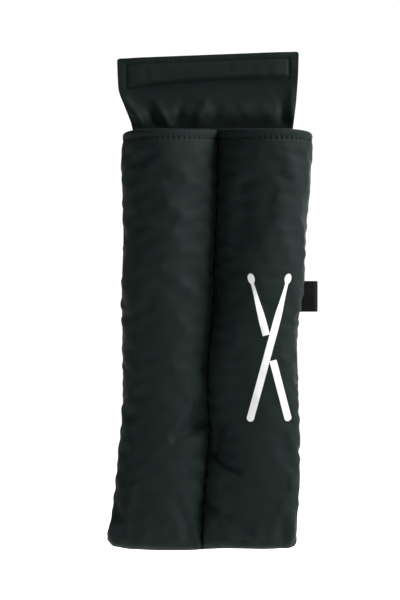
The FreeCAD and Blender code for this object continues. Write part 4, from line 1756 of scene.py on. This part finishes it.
@dataclass
class WebbingStrap:
    """The webbing that leaves the back panel, turns round a rail and closes on itself."""
    wardrobe: Wardrobe
    rib: float = 1.5 * MM
    rib_height: float = 0.09 * MM

    def __post_init__(self) -> None:
        """Reads the strap's sizes from the frame."""
        self.base_low, self.base_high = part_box("strap_base")
        self.tongue_low, self.tongue_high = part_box("strap_tongue_webbing")
        self.bend_low, self.bend_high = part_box("strap_bend_webbing")
        self.thick = self.base_high.y - self.base_low.y
        self.joints = {joint["name"]: Vector(joint["pos_m"]) for joint in frame["joints"]}

    def centre_line(self) -> Array:
        """The middle of the webbing from its root, round the turn, to its tail, as points in X and Y.

        Returns:
            The line's points.
        """
        near = self.base_low.y + self.thick / 2.0
        far = self.tongue_high.y - self.thick / 2.0
        radius = (far - near) / 2.0
        turn_x = self.bend_high.x - self.thick / 2.0 - radius
        root_x = np.linspace(self.base_low.x, turn_x, 150, endpoint=False)
        root = np.stack([root_x, np.full(150, near)], axis=1)
        angle = np.linspace(-np.pi / 2.0, np.pi / 2.0, 41)
        turn = np.stack([turn_x + radius * np.cos(angle), near + radius * (1.0 + np.sin(angle))], axis=1)
        tail = np.stack([np.linspace(turn_x, self.tongue_low.x, 151)[1:], np.full(150, far)], axis=1)
        return np.concatenate([root, turn, tail])

    def ribbon(self, name: str, line: Array) -> Object:
        """A run of webbing along part of the centre line, with rounded edges and fine ribs.

        Args:
            name: The piece's name.
            line: The part of the centre line.

        Returns:
            The new piece.
        """
        low, high = self.base_low.z, self.base_high.z
        along = np.concatenate([[0.0], np.cumsum(np.linalg.norm(np.diff(line, axis=0), axis=1))])
        tangent = np.gradient(line, axis=0)
        tangent /= np.linalg.norm(tangent, axis=1, keepdims=True)
        outward = np.stack([tangent[:, 1], -tangent[:, 0]], axis=1)
        share = np.linspace(0.0, 1.0, 32)
        z = low + (high - low) * share
        rim = np.minimum(share, 1.0 - share) * (high - low)
        slim = np.sqrt(np.clip(rim / (1.0 * MM), 0.0, 1.0) * (2.0 - np.clip(rim / (1.0 * MM), 0.0, 1.0)))
        off_middle = np.abs(z - (low + high) / 2.0)[None, :]
        ribs = self.rib_height * np.sin(TURN * (along[:, None] + 0.7 * off_middle) / self.rib)
        half = (self.thick / 2.0 - self.rib_height) * (0.35 + 0.65 * slim)[None, :] + ribs
        grids = []
        for sign in (1.0, -1.0):
            x = line[:, 0:1] + sign * outward[:, 0:1] * half
            y = line[:, 1:2] + sign * outward[:, 1:2] * half
            grids.append(np.stack(np.broadcast_arrays(x, y, z[None, :]), axis=-1))
        return slab_mesh(name, grids[0], grids[1])

    def build_webbing(self) -> None:
        """The root and the tongue, which meet at the outermost point of the turn."""
        line = self.centre_line()
        outermost = int(np.argmax(line[:, 0]))
        root = self.ribbon("strap_root", line[:outermost + 1])
        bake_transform(root)
        dress(root, self.wardrobe.webbing, "webbing", ["strap_base"])
        tongue = self.ribbon("strap_tongue", line[outermost:])
        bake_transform(tongue)
        dress(tongue, self.wardrobe.webbing, "webbing", ["strap_tongue_webbing", "strap_bend_webbing"])

    def build_patches(self) -> None:
        """The loop patch on the root and the hook patch on the tongue, with their stitched boxes."""
        root_face = self.base_high.y
        tongue_face = self.tongue_low.y

        def on_root(x: Array, z: Array, height: Array) -> Array:
            """Puts a point on the root's rear face."""
            return np.stack(np.broadcast_arrays(x, root_face + height, z), axis=-1)

        def on_tongue(x: Array, z: Array, height: Array) -> Array:
            """Puts a point on the tongue's inner face."""
            return np.stack(np.broadcast_arrays(x, tongue_face + height, z), axis=-1)

        loops = TapeStrip("strap_loop_tape", "strap_loop_patch", "strap_base_stitching", self.wardrobe.loops,
                          "loop_tape", self.wardrobe, tuft=1.6 * MM, nap=0.4 * MM)
        loops.build(on_root, "bag")
        hooks = TapeStrip("strap_hook_tape", "strap_hook_patch", "strap_patch_stitching", self.wardrobe.hooks,
                          "hook_tape", self.wardrobe, tuft=1.3 * MM, nap=0.3 * MM)
        hooks.build(on_tongue, "strap_tongue", Facing.FRONT)
        low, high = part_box("strap_hook_patch")

        def on_tail(x: Array, z: Array, height: Array) -> Array:
            """Puts a stitch on the tongue's rear face."""
            return np.stack(np.broadcast_arrays(x, self.tongue_high.y + height, z), axis=-1)

        rear_box = TapeStrip("strap_tail_box", "strap_hook_patch", "strap_patch_stitching", self.wardrobe.hooks,
                             "hook_tape", self.wardrobe)
        rear_box.build_box(on_tail, low, high, 0.0, "strap_tongue", Facing.REAR)

    def build(self) -> None:
        """Builds the whole strap."""
        self.build_webbing()
        self.build_patches()


# ---- Printed emblem -----------------------------------------------------------------------------------

@dataclass
class CrossedSticks:
    """A generic white print of two crossed sticks on the right tube."""
    cover: Object
    wardrobe: Wardrobe
    tilt: float = 15.0
    shaft: float = 2.9 * MM
    neck: float = 1.3 * MM
    bead: float = 2.7 * MM
    film: float = 0.16 * MM
    gap: float = 0.085

    def __post_init__(self) -> None:
        """Reads the print's place from the frame and readies the cover for it."""
        low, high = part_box("printed_emblem")
        self.middle = np.array([(low.x + high.x) / 2.0, (low.z + high.z) / 2.0])
        self.length = (high.z - low.z) / np.cos(np.radians(self.tilt))
        mesh = self.cover.data
        self.tree = BVHTree.FromPolygons([vertex.co for vertex in mesh.vertices],
                                         [tuple(face.vertices) for face in mesh.polygons])

    def width(self, share: Array) -> Array:
        """Half the stick's width from its butt, 0, to its tip, 1.

        Args:
            share: Places along the stick.

        Returns:
            Half the widths.
        """
        shoulder = smooth_step(share, 0.66, 0.93)
        body = self.shaft + (self.neck - self.shaft) * shoulder
        butt = np.sqrt(np.clip(share / 0.025, 0.0, 1.0) * (2.0 - np.clip(share / 0.025, 0.0, 1.0)))
        tip_centre, tip_half = 0.965, 0.035
        along_tip = np.clip((share - tip_centre) / tip_half, -1.0, 1.0)
        tip = self.bead * np.sqrt(np.maximum(0.0, 1.0 - along_tip ** 2))
        return np.maximum(body * butt * (share < tip_centre), tip)

    def printed(self, plan: Array) -> Array:
        """Drops points on to the cover from the front and lifts them by the ink's thickness.

        Args:
            plan: X and Z of each point, as a grid.

        Returns:
            The points on the cover.
        """
        points = []
        for x, z in plan.reshape(-1, 2):
            place, normal, _, _ = self.tree.ray_cast(Vector((x, -0.2, z)), Vector((0, 1, 0)))
            if normal.y > 0:
                normal = -normal
            points.append(place + normal * self.film)
        return np.array(points).reshape(*plan.shape[:2], 3)

    def strip(self, turn: float, start: float, end: float) -> Array:
        """A part of one stick between two shares of its length, as a grid on the cover.

        Args:
            turn: The stick's lean in degrees.
            start: The share at which the part starts.
            end: The share at which it ends.

        Returns:
            The grid.
        """
        share = np.linspace(start, end, max(8, int(150 * (end - start))))
        half = self.width(share)
        across = np.linspace(-1.0, 1.0, 9)
        angle = np.radians(turn)
        along = (share - 0.5) * self.length
        x = self.middle[0] + along[:, None] * np.sin(angle) + half[:, None] * across[None, :] * np.cos(angle)
        z = self.middle[1] + along[:, None] * np.cos(angle) - half[:, None] * across[None, :] * np.sin(angle)
        return self.printed(np.stack([x, z], axis=-1))

    def build(self) -> Object:
        """Prints one whole stick, and the other broken where it passes under.

        Returns:
            The print.
        """
        grids = [self.strip(self.tilt, 0.0, 1.0), self.strip(-self.tilt, 0.0, 0.5 - self.gap),
                 self.strip(-self.tilt, 0.5 + self.gap, 1.0)]
        points, faces, count = [], [], 0
        for grid in grids:
            points.append(grid.reshape(-1, 3))
            faces.append(grid_faces(*grid.shape[:2], count))
            count += len(points[-1])
        piece = build_mesh("crossed_sticks_print", np.concatenate(points), np.concatenate(faces))
        return dress(piece, self.wardrobe.ink, "print_white", ["printed_emblem"], "bag")


# ---- Studio -------------------------------------------------------------------------------------------

@dataclass
class Studio:
    """The camera, the lights, the white surround and the pale floor."""
    camera_place: tuple[float, float, float] = (-0.0144, -1.12, -0.1365)
    lens: float = 81.5
    floor_drop: float = 0.56

    def build_camera(self) -> None:
        """A level camera square to the bag's front."""
        data = bpy.data.cameras.new("front_camera")
        data.lens = self.lens
        data.sensor_width = 36.0
        data.sensor_fit = "AUTO"
        data.clip_start = 0.01
        camera = bpy.data.objects.new("front_camera", data)
        camera.location = self.camera_place
        camera.rotation_euler = (np.pi / 2.0, 0.0, 0.0)
        bpy.context.scene.collection.objects.link(camera)
        bpy.context.scene.camera = camera

    def softbox(self, name: str, place: Sequence[float], aim: Sequence[float], size: Sequence[float],
                power: float) -> None:
        """A large rectangular light.

        Args:
            name: The light's name.
            place: Where it stands.
            aim: The point that it faces.
            size: Its width and height.
            power: Its power in watts.
        """
        data = bpy.data.lights.new(name, "AREA")
        data.shape = "RECTANGLE"
        data.size, data.size_y = size
        data.energy = power
        light = bpy.data.objects.new(name, data)
        light.location = place
        light.rotation_euler = (Vector(aim) - Vector(place)).to_track_quat("-Z", "Y").to_euler()
        bpy.context.scene.collection.objects.link(light)

    def build_lights(self) -> None:
        """A broad key from the right and soft fills from the left and from behind."""
        aim = (0.0, 0.0, -0.15)
        self.softbox("key_softbox", (1.18, -0.42, 0.74), aim, (0.6, 0.9), 42.0)
        self.softbox("left_fill", (-1.45, -0.40, 0.0), aim, (0.8, 1.3), 2.2)
        self.softbox("rear_fill", (0.4, 1.5, 0.5), aim, (1.2, 1.2), 30.0)

    def build_surround(self) -> None:
        """A white surround that lights the bag only a little."""
        world = bpy.data.worlds.new("white_surround")
        bpy.context.scene.world = world
        world.use_nodes = True
        tree = world.node_tree
        tree.nodes.clear()
        seen = tree.nodes.new("ShaderNodeBackground")
        seen.inputs["Strength"].default_value = 1.05
        felt = tree.nodes.new("ShaderNodeBackground")
        felt.inputs["Color"].default_value = (0.95, 0.98, 1.0, 1.0)
        felt.inputs["Strength"].default_value = 0.045
        seen.inputs["Color"].default_value = (1.0, 1.0, 1.0, 1.0)
        rays = tree.nodes.new("ShaderNodeLightPath")
        choice = tree.nodes.new("ShaderNodeMixShader")
        output = tree.nodes.new("ShaderNodeOutputWorld")
        tree.links.new(rays.outputs["Is Camera Ray"], choice.inputs[0])
        tree.links.new(felt.outputs[0], choice.inputs[1])
        tree.links.new(seen.outputs[0], choice.inputs[2])
        tree.links.new(choice.outputs[0], output.inputs["Surface"])

    def build_floor(self) -> None:
        """A wide plain floor below the hanging bag."""
        reach = 12.0
        height = -self.floor_drop
        corners = np.array([[-reach, -reach, height], [reach, -reach, height], [reach, reach, height],
                            [-reach, reach, height]])
        floor = build_mesh("studio_floor", corners, np.array([[0, 1, 2, 3]]))
        floor.data.materials.append(PaleFloor().material())

    def build(self) -> None:
        """Sets the whole studio and a plain view transform."""
        self.build_camera()
        self.build_lights()
        self.build_surround()
        self.build_floor()
        bpy.context.scene.view_settings.view_transform = "Standard"


# ---- The whole bag ------------------------------------------------------------------------------------

def main() -> None:
    """Builds the bag in order: tubes, back panel, flap, strap, print and studio."""
    logging.basicConfig(level=logging.INFO, format="%(name)s %(message)s")
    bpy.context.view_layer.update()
    wardrobe = Wardrobe()
    outline = measured_outline()
    tubes = {side: Tube(outline, side, wardrobe) for side in Side}
    for tube in tubes.values():
        tube.build()
    panel = BackPanel(outline, wardrobe)
    panel.build_cover()
    panel.build_layers()
    panel.build_seam()

    def on_panel(x: Array, z: Array, height: Array) -> Array:
        """Puts a tape point on the panel's rear face."""
        return np.stack(np.broadcast_arrays(x, height, z), axis=-1)

    TapeStrip("back_loop_tape", "loop_strip", "loop_strip_stitching", wardrobe.loops, "loop_tape", wardrobe,
              tuft=1.6 * MM, nap=0.45 * MM).build(on_panel, "bag")
    HangingFlap(wardrobe).build()
    WebbingStrap(wardrobe).build()
    CrossedSticks(tubes[Side.RIGHT].cover, wardrobe).build()
    Studio().build()


if __name__ == "__main__":
    main()
